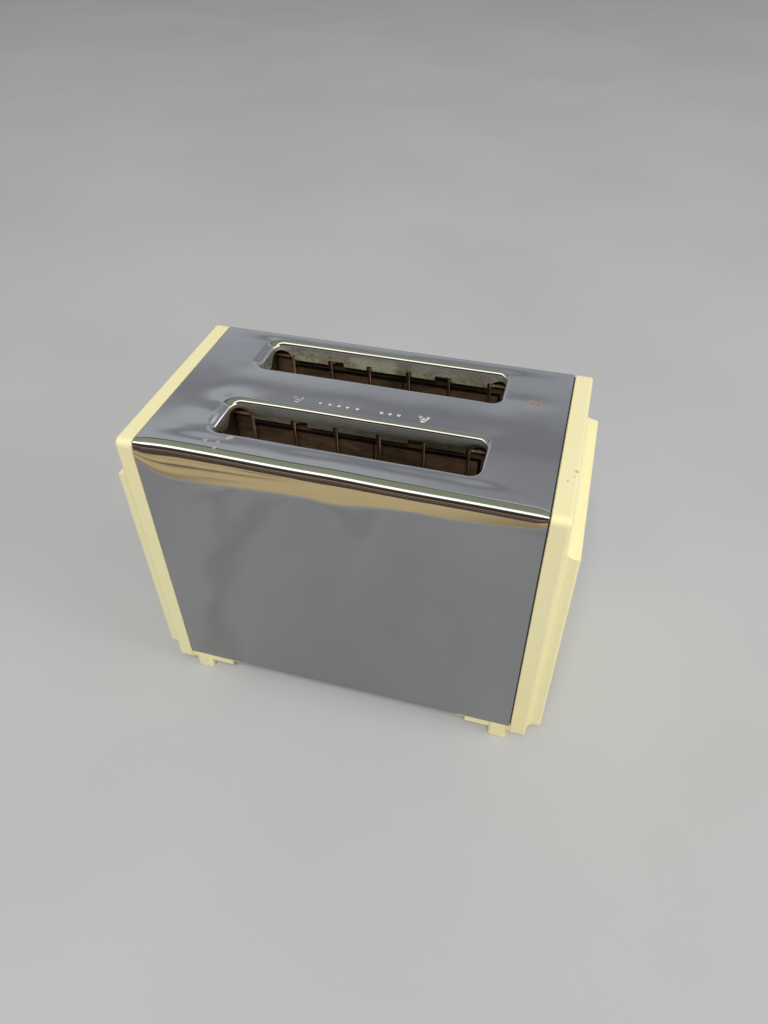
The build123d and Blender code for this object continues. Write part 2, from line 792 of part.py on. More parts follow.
def bread_guard(slot_y, wall):
    """The wire guard along one side of a bread slot."""
    with BuildPart() as guard:
        for offset_y, rail_height in ((low_rail_offset, rail_z), (high_rail_offset, high_rail_z)):
            with BuildSketch(Plane.YZ.offset(-rail_half_x)):
                with Locations((slot_y + wall * offset_y, rail_height)):
                    RegularPolygon(guard_rail_radius, wire_sides)
            extrude(amount=2 * rail_half_x)
        for x in wire_x:
            wire_y = slot_y + wall * wire_offset
            with BuildLine() as wire_path:
                FilletPolyline(
                    (x, wire_y, rail_z - guard_rail_radius),
                    (x, wire_y, hook_z),
                    (x, slot_y + wall * (wire_offset + guard_hook), hook_z),
                    radius=guard_elbow,
                )
            with BuildSketch(Plane((x, wire_y, rail_z - guard_rail_radius))):
                RegularPolygon(wire_radius, wire_sides)
            sweep(path=wire_path.wires()[0])
    return guard


for slot_name, slot_y in slot_centres.items():
    save(bread_guard(slot_y, -1), f"{slot_name}_front_guard")
    save(bread_guard(slot_y, 1), f"{slot_name}_rear_guard")

# Guide rod, and the bracket that holds its top and the lift spring
rod_bracket_half = rod_radius + rod_bracket_reach
spring_x = end_plate_x + end_plate_sheet + spring_from_plate
spring_y = rod_y + spring_from_rod
rod_bracket_end_y = spring_y + spring_coil_radius + rod_bracket_reach / 2

with BuildPart() as rod_bracket:
    with BuildSketch(Plane.XY.offset(rod_bracket_z)):
        bracket_low_y = rod_y - rod_bracket_half
        plate_outer = end_plate_x + end_plate_sheet
        bracket_outer = rod_x + rod_bracket_half
        with Locations((-(plate_outer + bracket_outer) / 2, (bracket_low_y + rod_bracket_end_y) / 2)):
            Rectangle(bracket_outer - plate_outer, rod_bracket_end_y - bracket_low_y)
        with Locations((-rod_x, rod_y)):
            Circle(rod_radius + running_clearance, mode=Mode.SUBTRACT)
    extrude(amount=bracket_sheet)
    fillet(rod_bracket.edges().filter_by(Axis.Z).group_by(Axis.X)[0], rod_bracket_corner)
    with BuildSketch(Plane.YZ.offset(-plate_outer)):
        with Locations(((bracket_low_y + rod_bracket_end_y) / 2, rod_bracket_z - rod_bracket_flange / 2)):
            Rectangle(rod_bracket_end_y - bracket_low_y, rod_bracket_flange)
    extrude(amount=-bracket_sheet)
save(rod_bracket, "rod_bracket")

with BuildPart() as guide_rod:
    with BuildSketch(Plane.XY.offset(base_top)):
        with Locations((-rod_x, rod_y)):
            Circle(rod_radius)
    extrude(amount=rod_bracket_z + bracket_sheet + rod_overhang - base_top)
    chamfer(guide_rod.faces().sort_by(Axis.Z)[-1].edges(), rod_overhang / 2)
save(guide_rod, "guide_rod")

# Carriage: a crossbar behind the control end plate with an upright for the lever, a sleeve
# that runs on the guide rod, a tab for the spring and a nose for the latch
crossbar_low = near_slot_y - crossbar_overhang
crossbar_high = far_slot_y + crossbar_overhang
upright_top = lever_z + lever_height / 2 + upright_margin
sleeve_bottom = rack_rest + sleeve_lift
sleeve_radius = rod_radius + running_clearance + sleeve_wall
tab_top = rack_rest + crossbar_height
carriage_outer = carriage_x + carriage_sheet

with BuildPart() as carriage:
    with BuildSketch(Plane.YZ.offset(-carriage_x)) as crossbar:
        with Locations(((crossbar_low + crossbar_high) / 2, rack_rest + crossbar_height / 2)):
            Rectangle(crossbar_high - crossbar_low, crossbar_height)
        fillet(crossbar.vertices(), carriage_corner)
        with Locations((0, (rack_rest + upright_top) / 2)):
            Rectangle(upright_width, upright_top - rack_rest)
    extrude(amount=-carriage_sheet)
    with BuildSketch(Plane.XY.offset(sleeve_bottom)):
        with Locations((-rod_x, rod_y)):
            Circle(sleeve_radius)
        with Locations((-(carriage_x + rod_x) / 2, rod_y)):
            Rectangle(rod_x - carriage_x, 2 * rod_radius)
    extrude(amount=sleeve_height)
    with BuildSketch(Plane.XY.offset(sleeve_bottom)):
        with Locations((-rod_x, rod_y)):
            Circle(rod_radius + running_clearance)
    extrude(amount=sleeve_height, mode=Mode.SUBTRACT)
    with BuildSketch(Plane.XY.offset(tab_top)):
        tab_inner = spring_x - spring_coil_radius
        with Locations((-(tab_inner + carriage_outer) / 2, spring_y)):
            Rectangle(carriage_outer - tab_inner, 2 * spring_coil_radius + spring_tab_margin)
    extrude(amount=-carriage_sheet)
    with BuildSketch(Plane.XY.offset(rack_rest)):
        with Locations((-(carriage_x + nose_tip_x) / 2, latch_y)):
            Rectangle(nose_tip_x - carriage_x, nose_width)
    extrude(amount=nose_height)
    tip_edges = carriage.edges().filter_by(Axis.Y).group_by(Axis.X)[0].sort_by(Axis.Z)
    chamfer(tip_edges[0], nose_height / 2)
save(carriage, "carriage")

# Bread racks: a bar on edge with cross wings that carry the slice
rack_end_x = end_plate_x + end_plate_sheet + rack_tail


def bread_rack(slot_y):
    """The rack in one bread slot, from the carriage to its tail in the plain end plate."""
    with BuildPart() as rack:
        with BuildSketch(Plane.XZ.offset(-slot_y - rack_bar_thickness / 2)) as bar:
            with Locations(((rack_end_x - carriage_x) / 2, rack_rest + rack_bar_height / 2)):
                Rectangle(rack_end_x + carriage_x, rack_bar_height)
            fillet(bar.vertices().group_by(Axis.X)[-1], rack_bar_height / 4)
        extrude(amount=rack_bar_thickness)
        for i in range(guard_wires - 1):
            wing_x = (wire_x[i] + wire_x[i + 1]) / 2
            with BuildSketch(Plane.YZ.offset(wing_x - rack_bar_thickness / 2)) as wing:
                with Locations((slot_y, rack_rest + rack_bar_height - rack_cross_height / 2)):
                    Rectangle(rack_cross_width, rack_cross_height)
                fillet(wing.vertices().group_by(Axis.Y)[0], rack_cross_height / 2)
            extrude(amount=rack_bar_thickness)
    return rack


for slot_name, slot_y in slot_centres.items():
    save(bread_rack(slot_y), f"{slot_name}_rack")

# Lift spring between the rod bracket and the carriage tab
spring_low = tab_top + spring_seat_gap
spring_high = rod_bracket_z - spring_seat_gap
spring_length = spring_high - spring_low - 2 * spring_wire_radius
spring_plane = Plane((-spring_x, spring_y, spring_low + spring_wire_radius))

with BuildPart() as lift_spring:
    with BuildLine(spring_plane) as coil:
        Helix(spring_length / spring_turns, spring_length, spring_coil_radius)
    coil_wire = coil.wires()[0]
    with BuildSketch(Plane(coil_wire @ 0, z_dir=coil_wire % 0)):
        RegularPolygon(spring_wire_radius, wire_sides)
    sweep(path=coil_wire, is_frenet=True)
save(lift_spring, "lift_spring")

# Lever arm and the knob on its end
knob_inner_x = handle_x + knob_gap
knob_outer_x = handle_x + knob_reach
lever_tip_x = knob_inner_x + knob_engagement

with BuildPart() as lever_arm:
    with BuildSketch(Plane.XZ.offset(-lever_thickness / 2)) as arm:
        with Locations((-(carriage_outer + lever_tip_x) / 2, lever_z)):
            Rectangle(lever_tip_x - carriage_outer, lever_height)
        fillet(arm.vertices().group_by(Axis.X)[0], lever_height / 5)
    extrude(amount=lever_thickness)
save(lever_arm, "lever_arm")

with BuildPart() as lever_knob:
    with BuildSketch(Plane.XY.offset(lever_z - knob_height / 2)) as knob_plan:
        with Locations((-(knob_inner_x + knob_outer_x) / 2, 0)):
            Rectangle(knob_outer_x - knob_inner_x, knob_width)
        fillet(knob_plan.vertices().group_by(Axis.X)[0], knob_corner)
        fillet(knob_plan.vertices().group_by(Axis.X)[-1], knob_edge)
    extrude(amount=knob_height)
    dish_centre = (-(knob_inner_x + knob_outer_x) / 2, lever_z + knob_height / 2 + dish_radius - dish_depth)
    with BuildSketch(Plane.XZ.offset(-knob_width)):
        with Locations(dish_centre):
            Circle(dish_radius)
    extrude(amount=2 * knob_width, mode=Mode.SUBTRACT)
    fillet(lever_knob.faces().sort_by(Axis.Z)[0].edges(), knob_edge)
    with BuildSketch(Plane.YZ.offset(-knob_inner_x)):
        with Locations((0, lever_z)):
            Rectangle(lever_thickness + 2 * knob_fit, lever_height + 2 * knob_fit)
    extrude(amount=-knob_engagement - knob_fit, mode=Mode.SUBTRACT)
save(lever_knob, "lever_knob")

# Control bracket: an upright on the base plate that carries the browning shaft, the guides of
# the calibration slide and, on a taller tab, the latch pin
tab_height = latch_pin_z + latch_hub_radius + latch_tab_margin
bracket_start_y = latch_y - bracket_reach
guide_y = [latch_y - latch_tab_width / 2, bracket_start_y + guide_inset]
slider_x = cam_x + (cam_thickness - slider_thickness) / 2
ear_gap_y = latch_thickness / 2 + latch_ear_gap
guide_depth = slider_x + slider_thickness + slider_wall - bracket_x

with BuildPart() as control_bracket:
    with BuildSketch(Plane.YZ.offset(-bracket_x)) as upright:
        with Locations(((bracket_start_y + bracket_end_y) / 2, (base_top + bracket_top) / 2)):
            Rectangle(bracket_end_y - bracket_start_y, bracket_top - base_top)
        with Locations((latch_y, (base_top + tab_height) / 2)):
            Rectangle(latch_tab_width, tab_height - base_top)
        fillet(upright.vertices().group_by(Axis.Y)[-1], bracket_corner)
        with Locations((0, shaft_z)):
            Circle(shaft_radius + running_clearance, mode=Mode.SUBTRACT)
    extrude(amount=-bracket_sheet)
    with BuildSketch(Plane.XY.offset(base_top)):
        with Locations((-bracket_x + bracket_foot / 2, (bracket_start_y + latch_y) / 2)):
            Rectangle(bracket_foot, latch_y - bracket_start_y)
    extrude(amount=bracket_sheet)
    for edge in (-1, 1):
        with BuildSketch(Plane.XZ.offset(-latch_y - edge * ear_gap_y)):
            with Locations((-(latch_pin_x - latch_hub_radius + bracket_x) / 2, latch_pin_z)):
                Rectangle(bracket_x - latch_pin_x + latch_hub_radius, 2 * latch_hub_radius)
            with Locations((-latch_pin_x, latch_pin_z)):
                Circle(latch_pin_radius + running_clearance, mode=Mode.SUBTRACT)
        extrude(amount=-edge * latch_ear)
    for y in guide_y:
        with BuildSketch(Plane.XZ.offset(-y)):
            with Locations((-bracket_x - guide_depth / 2, shaft_z)):
                Rectangle(guide_depth, slider_height + 2 * slider_wall)
            with Locations((-slider_x - slider_thickness / 2, shaft_z)):
                slot_wide = slider_thickness + 2 * slider_clearance
                Rectangle(slot_wide, slider_height + 2 * slider_clearance, mode=Mode.SUBTRACT)
        extrude(amount=bracket_sheet)
save(control_bracket, "control_bracket")

# Browning control: shaft with its spiral cam, and the dial outside
cam_large_radius = cam_small_radius + cam_throw


def cam_point(turn, radius):
    """A point on the cam's edge, where turn is degrees of knob travel from the slide's tip."""
    angle = math.radians(180 - turn)
    return (radius * math.cos(angle), shaft_z + radius * math.sin(angle))


with BuildPart() as browning_cam:
    with BuildSketch(Plane.YZ.offset(-cam_x)):
        with BuildLine():
            steps = 12
            spiral = []
            for i in range(steps + 1):
                share = i / steps
                spiral.append(cam_point(share * cam_sweep, cam_small_radius + share * cam_throw))
            Spline(spiral)
            high_end = cam_point(cam_sweep + cam_dwell, cam_large_radius)
            high_middle = cam_point(cam_sweep + cam_dwell / 2, cam_large_radius)
            low_start = cam_point(-cam_dwell, cam_small_radius)
            low_middle = cam_point(-cam_dwell / 2, cam_small_radius)
            ThreePointArc(spiral[-1], high_middle, high_end)
            Line(high_end, low_start)
            ThreePointArc(low_start, low_middle, spiral[0])
        make_face()
        with Locations((0, shaft_z)):
            Circle(shaft_radius + running_clearance, mode=Mode.SUBTRACT)
    extrude(amount=-cam_thickness)
save(browning_cam, "browning_cam")

dial_inner_x = handle_x + dial_gap
dial_outer_x = dial_inner_x + dial_depth
skirt_outer_x = dial_outer_x - dial_grip_height

with BuildPart() as browning_shaft:
    with BuildSketch(Plane.YZ.offset(-bracket_x + shaft_overhang)):
        with Locations((0, shaft_z)):
            Circle(shaft_radius)
    extrude(amount=-(skirt_outer_x - bracket_x + shaft_overhang))
    chamfer(browning_shaft.faces().sort_by(Axis.X)[-1].edges(), shaft_overhang / 3)
save(browning_shaft, "browning_shaft")

with BuildPart() as browning_dial:
    with BuildSketch(Plane.YZ.offset(-dial_inner_x)):
        with Locations((0, shaft_z)):
            Circle(dial_radius)
            with PolarLocations(dial_radius, dial_flutes):
                Circle(flute_radius, mode=Mode.SUBTRACT)
    extrude(amount=-(skirt_outer_x - dial_inner_x))
    with BuildSketch(Plane.YZ.offset(-skirt_outer_x)):
        with Locations((0, shaft_z)):
            SlotOverall(2 * (dial_radius - dial_grip_inset), dial_grip_width, rotation=90)
    extrude(amount=-dial_grip_height)
    fillet(browning_dial.faces().sort_by(Axis.X)[0].edges(), dial_edge)
    with BuildSketch(Plane.YZ.offset(-dial_inner_x)):
        with Locations((0, shaft_z)):
            Circle(shaft_radius + running_clearance)
    extrude(amount=-(skirt_outer_x - dial_inner_x), mode=Mode.SUBTRACT)
save(browning_dial, "browning_dial")

# Calibration slide that rides on the cam, and the bimetal blade that it bends
slider_tip_y = -cam_small_radius - cam_tip_gap
slider_end_y = slider_tip_y - slider_length

with BuildPart() as calibration_slide:
    with BuildSketch(Plane.YZ.offset(-slider_x)) as slide:
        with Locations(((slider_tip_y + slider_end_y) / 2, shaft_z)):
            Rectangle(slider_length, slider_height)
        fillet(slide.vertices().group_by(Axis.X)[-1], slider_height / 4)
    extrude(amount=-slider_thickness)
save(calibration_slide, "calibration_slide")

blade_y = slider_end_y - cam_throw - blade_gap
blade_outer_x = slider_x + slider_thickness
blade_foot_end_y = bracket_start_y - blade_gap
with BuildPart() as bimetal_blade:
    with BuildSketch(Plane.XZ.offset(-blade_y)) as strip:
        with Locations((-blade_outer_x + bimetal_width / 2, (base_top + bimetal_top) / 2)):
            Rectangle(bimetal_width, bimetal_top - base_top)
        fillet(strip.vertices().group_by(Axis.Y)[-1], bimetal_corner)
    extrude(amount=bimetal_sheet)
    with BuildSketch(Plane.XY.offset(base_top)):
        with Locations((-blade_outer_x + bimetal_width / 2, (blade_y + blade_foot_end_y) / 2)):
            Rectangle(bimetal_width, blade_foot_end_y - blade_y + bimetal_sheet)
    extrude(amount=bimetal_sheet)
save(bimetal_blade, "bimetal_blade")

# Latch lever and its pin. Its tooth swings over the carriage's nose at the bottom of travel.
tooth_bottom = rack_rest - travel + nose_height + latch_tooth_gap
tooth_top = tooth_bottom + latch_tooth_height

with BuildPart() as latch_lever:
    with BuildSketch(Plane.XZ.offset(-latch_y - latch_thickness / 2)):
        with Locations((-latch_pin_x, latch_pin_z)):
            Circle(latch_hub_radius)
        with BuildLine():
            Polyline(
                (-latch_front_x, latch_pin_z),
                (-latch_front_x, tooth_bottom),
                (-latch_front_x - latch_arm_width / 2, tooth_bottom),
                (-latch_pin_x, tooth_top),
                (-latch_pin_x, latch_pin_z),
                close=True,
            )
        make_face()
        with Locations((-latch_pin_x, latch_pin_z)):
            Circle(latch_pin_radius + running_clearance, mode=Mode.SUBTRACT)
    extrude(amount=latch_thickness)
save(latch_lever, "latch_lever")

with BuildPart() as latch_pin:
    pin_half = ear_gap_y + latch_ear
    with BuildSketch(Plane.XZ.offset(-latch_y - pin_half)):
        with Locations((-latch_pin_x, latch_pin_z)):
            Circle(latch_pin_radius)
    extrude(amount=2 * pin_half)
save(latch_pin, "latch_pin")

# Contact block on the chassis flange, its two blades, the leads and the lead's inlet bush
block_x = end_plate_x + end_plate_sheet + block_clearance
block_bottom = base_top + end_plate_sheet
block_low_y = crossbar_high + block_clearance
block_centre = (-block_x - block_length / 2, block_low_y + block_width / 2)
block_top = block_bottom + block_height
blade_heights = [block_top - blade_drop - blade_step * i for i in range(2)]

with BuildPart() as contact_block:
    with BuildSketch(Plane.XY.offset(block_bottom)):
        with Locations(block_centre):
            Rectangle(block_length, block_width)
    extrude(amount=block_height)
    fillet(contact_block.edges().filter_by(Axis.Z), block_edge)
    with BuildSketch(Plane.XZ.offset(-block_low_y)):
        with Locations(*[(block_centre[0], z) for z in blade_heights]):
            Rectangle(blade_width + 2 * blade_fit, blade_thickness + 2 * blade_fit)
    extrude(amount=-block_width, mode=Mode.SUBTRACT)
save(contact_block, "contact_block")

with BuildPart() as contact_blades:
    with BuildSketch(Plane.XZ.offset(-block_low_y + blade_reach)):
        with Locations(*[(block_centre[0], z) for z in blade_heights]):
            Rectangle(blade_width, blade_thickness)
    extrude(amount=-(block_width + blade_reach + blade_tail))
save(contact_blades, "contact_blades")

lead_start_x = handle_x - panel_wall - bushing_flange
lead_end_x = block_x + block_length
lead_names = {"live_lead": -1, "neutral_lead": 1}
for name, place in lead_names.items():
    near_y = inlet_y + place * lead_spread
    far_y = block_centre[1] + place * block_width / 4
    near_x = lead_end_x + lead_bend * 2
    far_x = lead_end_x + lead_bend
    with BuildPart() as lead:
        with BuildLine() as lead_path:
            FilletPolyline(
                (-lead_start_x, near_y, inlet_z),
                (-near_x - lead_bend, near_y, inlet_z),
                (-far_x, far_y, inlet_z),
                (-lead_end_x, far_y, inlet_z),
                radius=lead_bend,
            )
        with BuildSketch(Plane((-lead_start_x, near_y, inlet_z), x_dir=(0, 1, 0), z_dir=(1, 0, 0))):
            Circle(lead_radius)
        sweep(path=lead_path.wires()[0])
    save(lead, name)

with BuildPart() as cord_bushing:
    with BuildSketch(Plane.YZ.offset(-lead_start_x)):
        with Locations((inlet_y, inlet_z)):
            SlotOverall(inlet_slot_length - 2 * bushing_gap, inlet_slot_width - 2 * bushing_gap)
    extrude(amount=-(handle_x + bushing_flange - lead_start_x))
    with BuildSketch(Plane.YZ.offset(-handle_x - bushing_gap)):
        with Locations((inlet_y, inlet_z)):
            SlotOverall(inlet_slot_length + 2 * bushing_flange, inlet_slot_width + 2 * bushing_flange)
    extrude(amount=-bushing_flange)
    fillet(cord_bushing.faces().sort_by(Axis.X)[0].edges(), bushing_flange / 2)
    with BuildSketch(Plane.YZ.offset(-lead_start_x)):
        with Locations((inlet_y, inlet_z)):
            hole_length = inlet_slot_length - 2 * bushing_gap - 2 * bushing_wall
            SlotOverall(hole_length, inlet_slot_width - 2 * bushing_gap - 2 * bushing_wall)
    extrude(amount=-(handle_x + 2 * bushing_flange - lead_start_x), mode=Mode.SUBTRACT)
save(cord_bushing, "cord_bushing")
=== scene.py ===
"""Looks of a two-slot pop-up toaster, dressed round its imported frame.

The bright shell and the marks pressed in its top are modelled here. All other pieces keep the
shapes of the frame and get their finishes here. All sizes are in metres.
"""
import json
import logging
import math
from dataclasses import dataclass
from enum import Enum
from typing import Callable, Sequence, Union

import bmesh
import bpy
from mathutils import Matrix, Vector


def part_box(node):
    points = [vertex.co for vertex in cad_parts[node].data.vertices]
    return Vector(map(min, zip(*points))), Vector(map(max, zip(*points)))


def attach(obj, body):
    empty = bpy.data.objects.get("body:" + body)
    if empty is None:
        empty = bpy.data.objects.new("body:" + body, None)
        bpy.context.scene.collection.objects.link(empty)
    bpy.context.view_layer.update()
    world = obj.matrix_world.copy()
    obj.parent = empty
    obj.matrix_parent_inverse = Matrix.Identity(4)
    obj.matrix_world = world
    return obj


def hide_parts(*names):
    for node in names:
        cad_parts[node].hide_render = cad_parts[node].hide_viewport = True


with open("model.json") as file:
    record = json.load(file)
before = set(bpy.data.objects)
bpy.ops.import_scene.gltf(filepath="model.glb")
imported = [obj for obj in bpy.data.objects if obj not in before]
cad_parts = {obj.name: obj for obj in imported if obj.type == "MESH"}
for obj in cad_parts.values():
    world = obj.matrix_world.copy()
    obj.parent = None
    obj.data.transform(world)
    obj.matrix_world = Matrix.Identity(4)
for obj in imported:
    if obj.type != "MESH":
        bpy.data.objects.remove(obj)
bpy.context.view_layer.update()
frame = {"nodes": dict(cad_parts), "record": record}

Pair = tuple[float, float]
Point = tuple[float, float, float]
Colour = tuple[float, float, float]
Stops = tuple[tuple[float, Colour], ...]
Value = Union["Signal", float]
Tone = Union["Signal", Colour]
Piece = bpy.types.Object
Material = bpy.types.Material

HEAT_TINT = "heat_tint"

log = logging.getLogger("toaster")


class Signal:
    """A value in a node tree, on which shader sums are written as plain expressions."""

    def __init__(self, graph: "Graph", socket: bpy.types.NodeSocket) -> None:
        """Keeps the socket that carries the value.

        Args:
            graph: The graph that the socket belongs to.
            socket: The output socket.
        """
        self.graph = graph
        self.socket = socket

    def _sum(self, operation: str, *values: Value) -> "Signal":
        """Adds one Math node and returns its result."""
        return self.graph.add("ShaderNodeMath", {"operation": operation}, dict(enumerate(values)))

    def __add__(self, other: Value) -> "Signal":
        """Returns the sum."""
        return self._sum("ADD", self, other)

    __radd__ = __add__

    def __sub__(self, other: Value) -> "Signal":
        """Returns the difference."""
        return self._sum("SUBTRACT", self, other)

    def __rsub__(self, other: float) -> "Signal":
        """Returns a number less this value."""
        return self._sum("SUBTRACT", other, self)

    def __mul__(self, other: Value) -> "Signal":
        """Returns the product."""
        return self._sum("MULTIPLY", self, other)

    __rmul__ = __mul__

    def __pow__(self, other: float) -> "Signal":
        """Returns the power."""
        return self._sum("POWER", self, other)

    def __mod__(self, other: float) -> "Signal":
        """Returns the remainder after division."""
        return self._sum("MODULO", self, other)

    def __abs__(self) -> "Signal":
        """Returns the value without its sign."""
        return self._sum("ABSOLUTE", self)

    def least(self, other: Value) -> "Signal":
        """Returns the smaller of two values."""
        return self._sum("MINIMUM", self, other)

    def most(self, other: Value) -> "Signal":
        """Returns the larger of two values."""
        return self._sum("MAXIMUM", self, other)

    def angle(self, level: "Signal") -> "Signal":
        """Returns the angle of which this value is the rise and level the run."""
        return self._sum("ARCTAN2", self, level)

    def ease(self, low: float, high: float) -> "Signal":
        """Returns 0 below low and 1 above high, with a soft step between."""
        settings = {"interpolation_type": "SMOOTHSTEP"}
        return self.graph.add("ShaderNodeMapRange", settings, {0: self, 1: low, 2: high})

    def fade(self, low: float, high: float) -> "Signal":
        """Returns 1 below low and 0 above high, with a soft step between."""
        return 1.0 - self.ease(low, high)


class Graph:
    """A node tree that is filled in by one method."""

    def __init__(self, tree: bpy.types.NodeTree, space: str) -> None:
        """Wraps a tree and reads the place that is shaded.

        Args:
            tree: The node tree of a material or a world.
            space: The output of Texture Coordinate to read.
        """
        self.tree = tree
        self.place = self.add("ShaderNodeTexCoord", output=space)
        parts = self.add("ShaderNodeSeparateXYZ", values={0: self.place}).socket.node.outputs
        self.x, self.y, self.z = (Signal(self, part) for part in parts)

    def add(self, kind: str, settings: dict | None = None, values: dict | None = None,
            output: int | str = 0) -> Signal:
        """Adds a node.

        Args:
            kind: The node's type.
            settings: Its own settings, and "stops" for the stops of a colour ramp.
            values: Numbers, colours or signals for its sockets, by name or place.
            output: The place or name of the output to return.

        Returns:
            The signal of that output.
        """
        node = self.tree.nodes.new(kind)
        for key, value in (settings or {}).items():
            if key == "stops":
                self._fill_ramp(node.color_ramp, value)
            else:
                setattr(node, key, value)
        for key, value in (values or {}).items():
            self.feed(node.inputs[key], value)
        return Signal(self, node.outputs[output])

    @staticmethod
    def _fill_ramp(ramp: bpy.types.ColorRamp, stops: Stops) -> None:
        """Gives a ramp its stops."""
        while len(ramp.elements) < len(stops):
            ramp.elements.new(0.5)
        for element, (place, colour) in zip(ramp.elements, stops):
            element.position = place
            element.color = (*colour, 1.0)

    def feed(self, socket: bpy.types.NodeSocket, value: Value | Sequence[float]) -> None:
        """Links a signal to a socket, or sets the socket's own value."""
        if isinstance(value, Signal):
            self.tree.links.new(value.socket, socket)
        elif socket.type == "RGBA":
            socket.default_value = (*value[:3], 1.0)
        else:
            socket.default_value = value

    def mix(self, share: Value, first: Tone, second: Tone) -> Signal:
        """Returns the first colour where share is 0 and the second where it is 1."""
        return self.add("ShaderNodeMix", {"data_type": "RGBA"}, {0: share, 6: first, 7: second}, 2)

    def noise(self, scale: float, detail: float = 2.0, rough: float = 0.5,
              stretch: Point = (1.0, 1.0, 1.0)) -> Signal:
        """Returns a noise from 0 to 1.

        Args:
            scale: Features to a metre.
            detail: Octaves of finer noise.
            rough: Strength of the finer octaves.
            stretch: A factor on each axis of the object.
        """
        place = self.add("ShaderNodeMapping", values={0: self.place, 3: stretch})
        values = {"Vector": place, "Scale": scale, "Detail": detail, "Roughness": rough}
        return self.add("ShaderNodeTexNoise", values=values)

    def spots(self, scale: float, size: float) -> Signal:
        """Returns small round spots, 1 at their middle.

        Args:
            scale: Spots to a metre.
            size: Radius of a spot, as a share of their spacing.
        """
        cell = self.add("ShaderNodeTexVoronoi", values={"Vector": self.place, "Scale": scale})
        return cell.fade(size * 0.5, size)

    def ramp(self, share: Signal, *stops: tuple[float, Colour]) -> Signal:
        """Returns the colour of a ramp."""
        return self.add("ShaderNodeValToRGB", {"stops": stops}, {0: share})

    def bump(self, height: Signal, depth: float) -> Signal:
        """Returns the normal of a surface raised by height times depth, in metres."""
        return self.add("ShaderNodeBump", values={"Height": height, "Distance": depth})

    def near(self, centre: Point, radius: float, ragged: Signal) -> Signal:
        """Returns a soft round patch, 1 at its centre.

        Args:
            centre: Its middle, in the frame.
            radius: Its reach.
            ragged: A length added to the distance, which tears its edge.
        """
        ends = {0: self.place, 1: centre}
        offset = self.add("ShaderNodeVectorMath", {"operation": "DISTANCE"}, ends, "Value")
        return (offset + ragged).fade(radius * 0.45, radius)


class Surface(Graph):
    """The tree of one material with its principled shader."""

    def __init__(self, name: str) -> None:
        """Makes the material.

        Args:
            name: The material's name.
        """
        self.material = bpy.data.materials.new(name)
        self.material.use_nodes = True
        super().__init__(self.material.node_tree, "Object")
        self.shader = self.tree.nodes["Principled BSDF"]

    def wear(self, **sockets: Value | Colour) -> Material:
        """Sets the shader's sockets.

        Args:
            sockets: Their values, by name in small letters with low dashes for spaces.

        Returns:
            The finished material.
        """
        for name, value in sockets.items():
            self.feed(self.shader.inputs[name.replace("_", " ").title()], value)
        return self.material


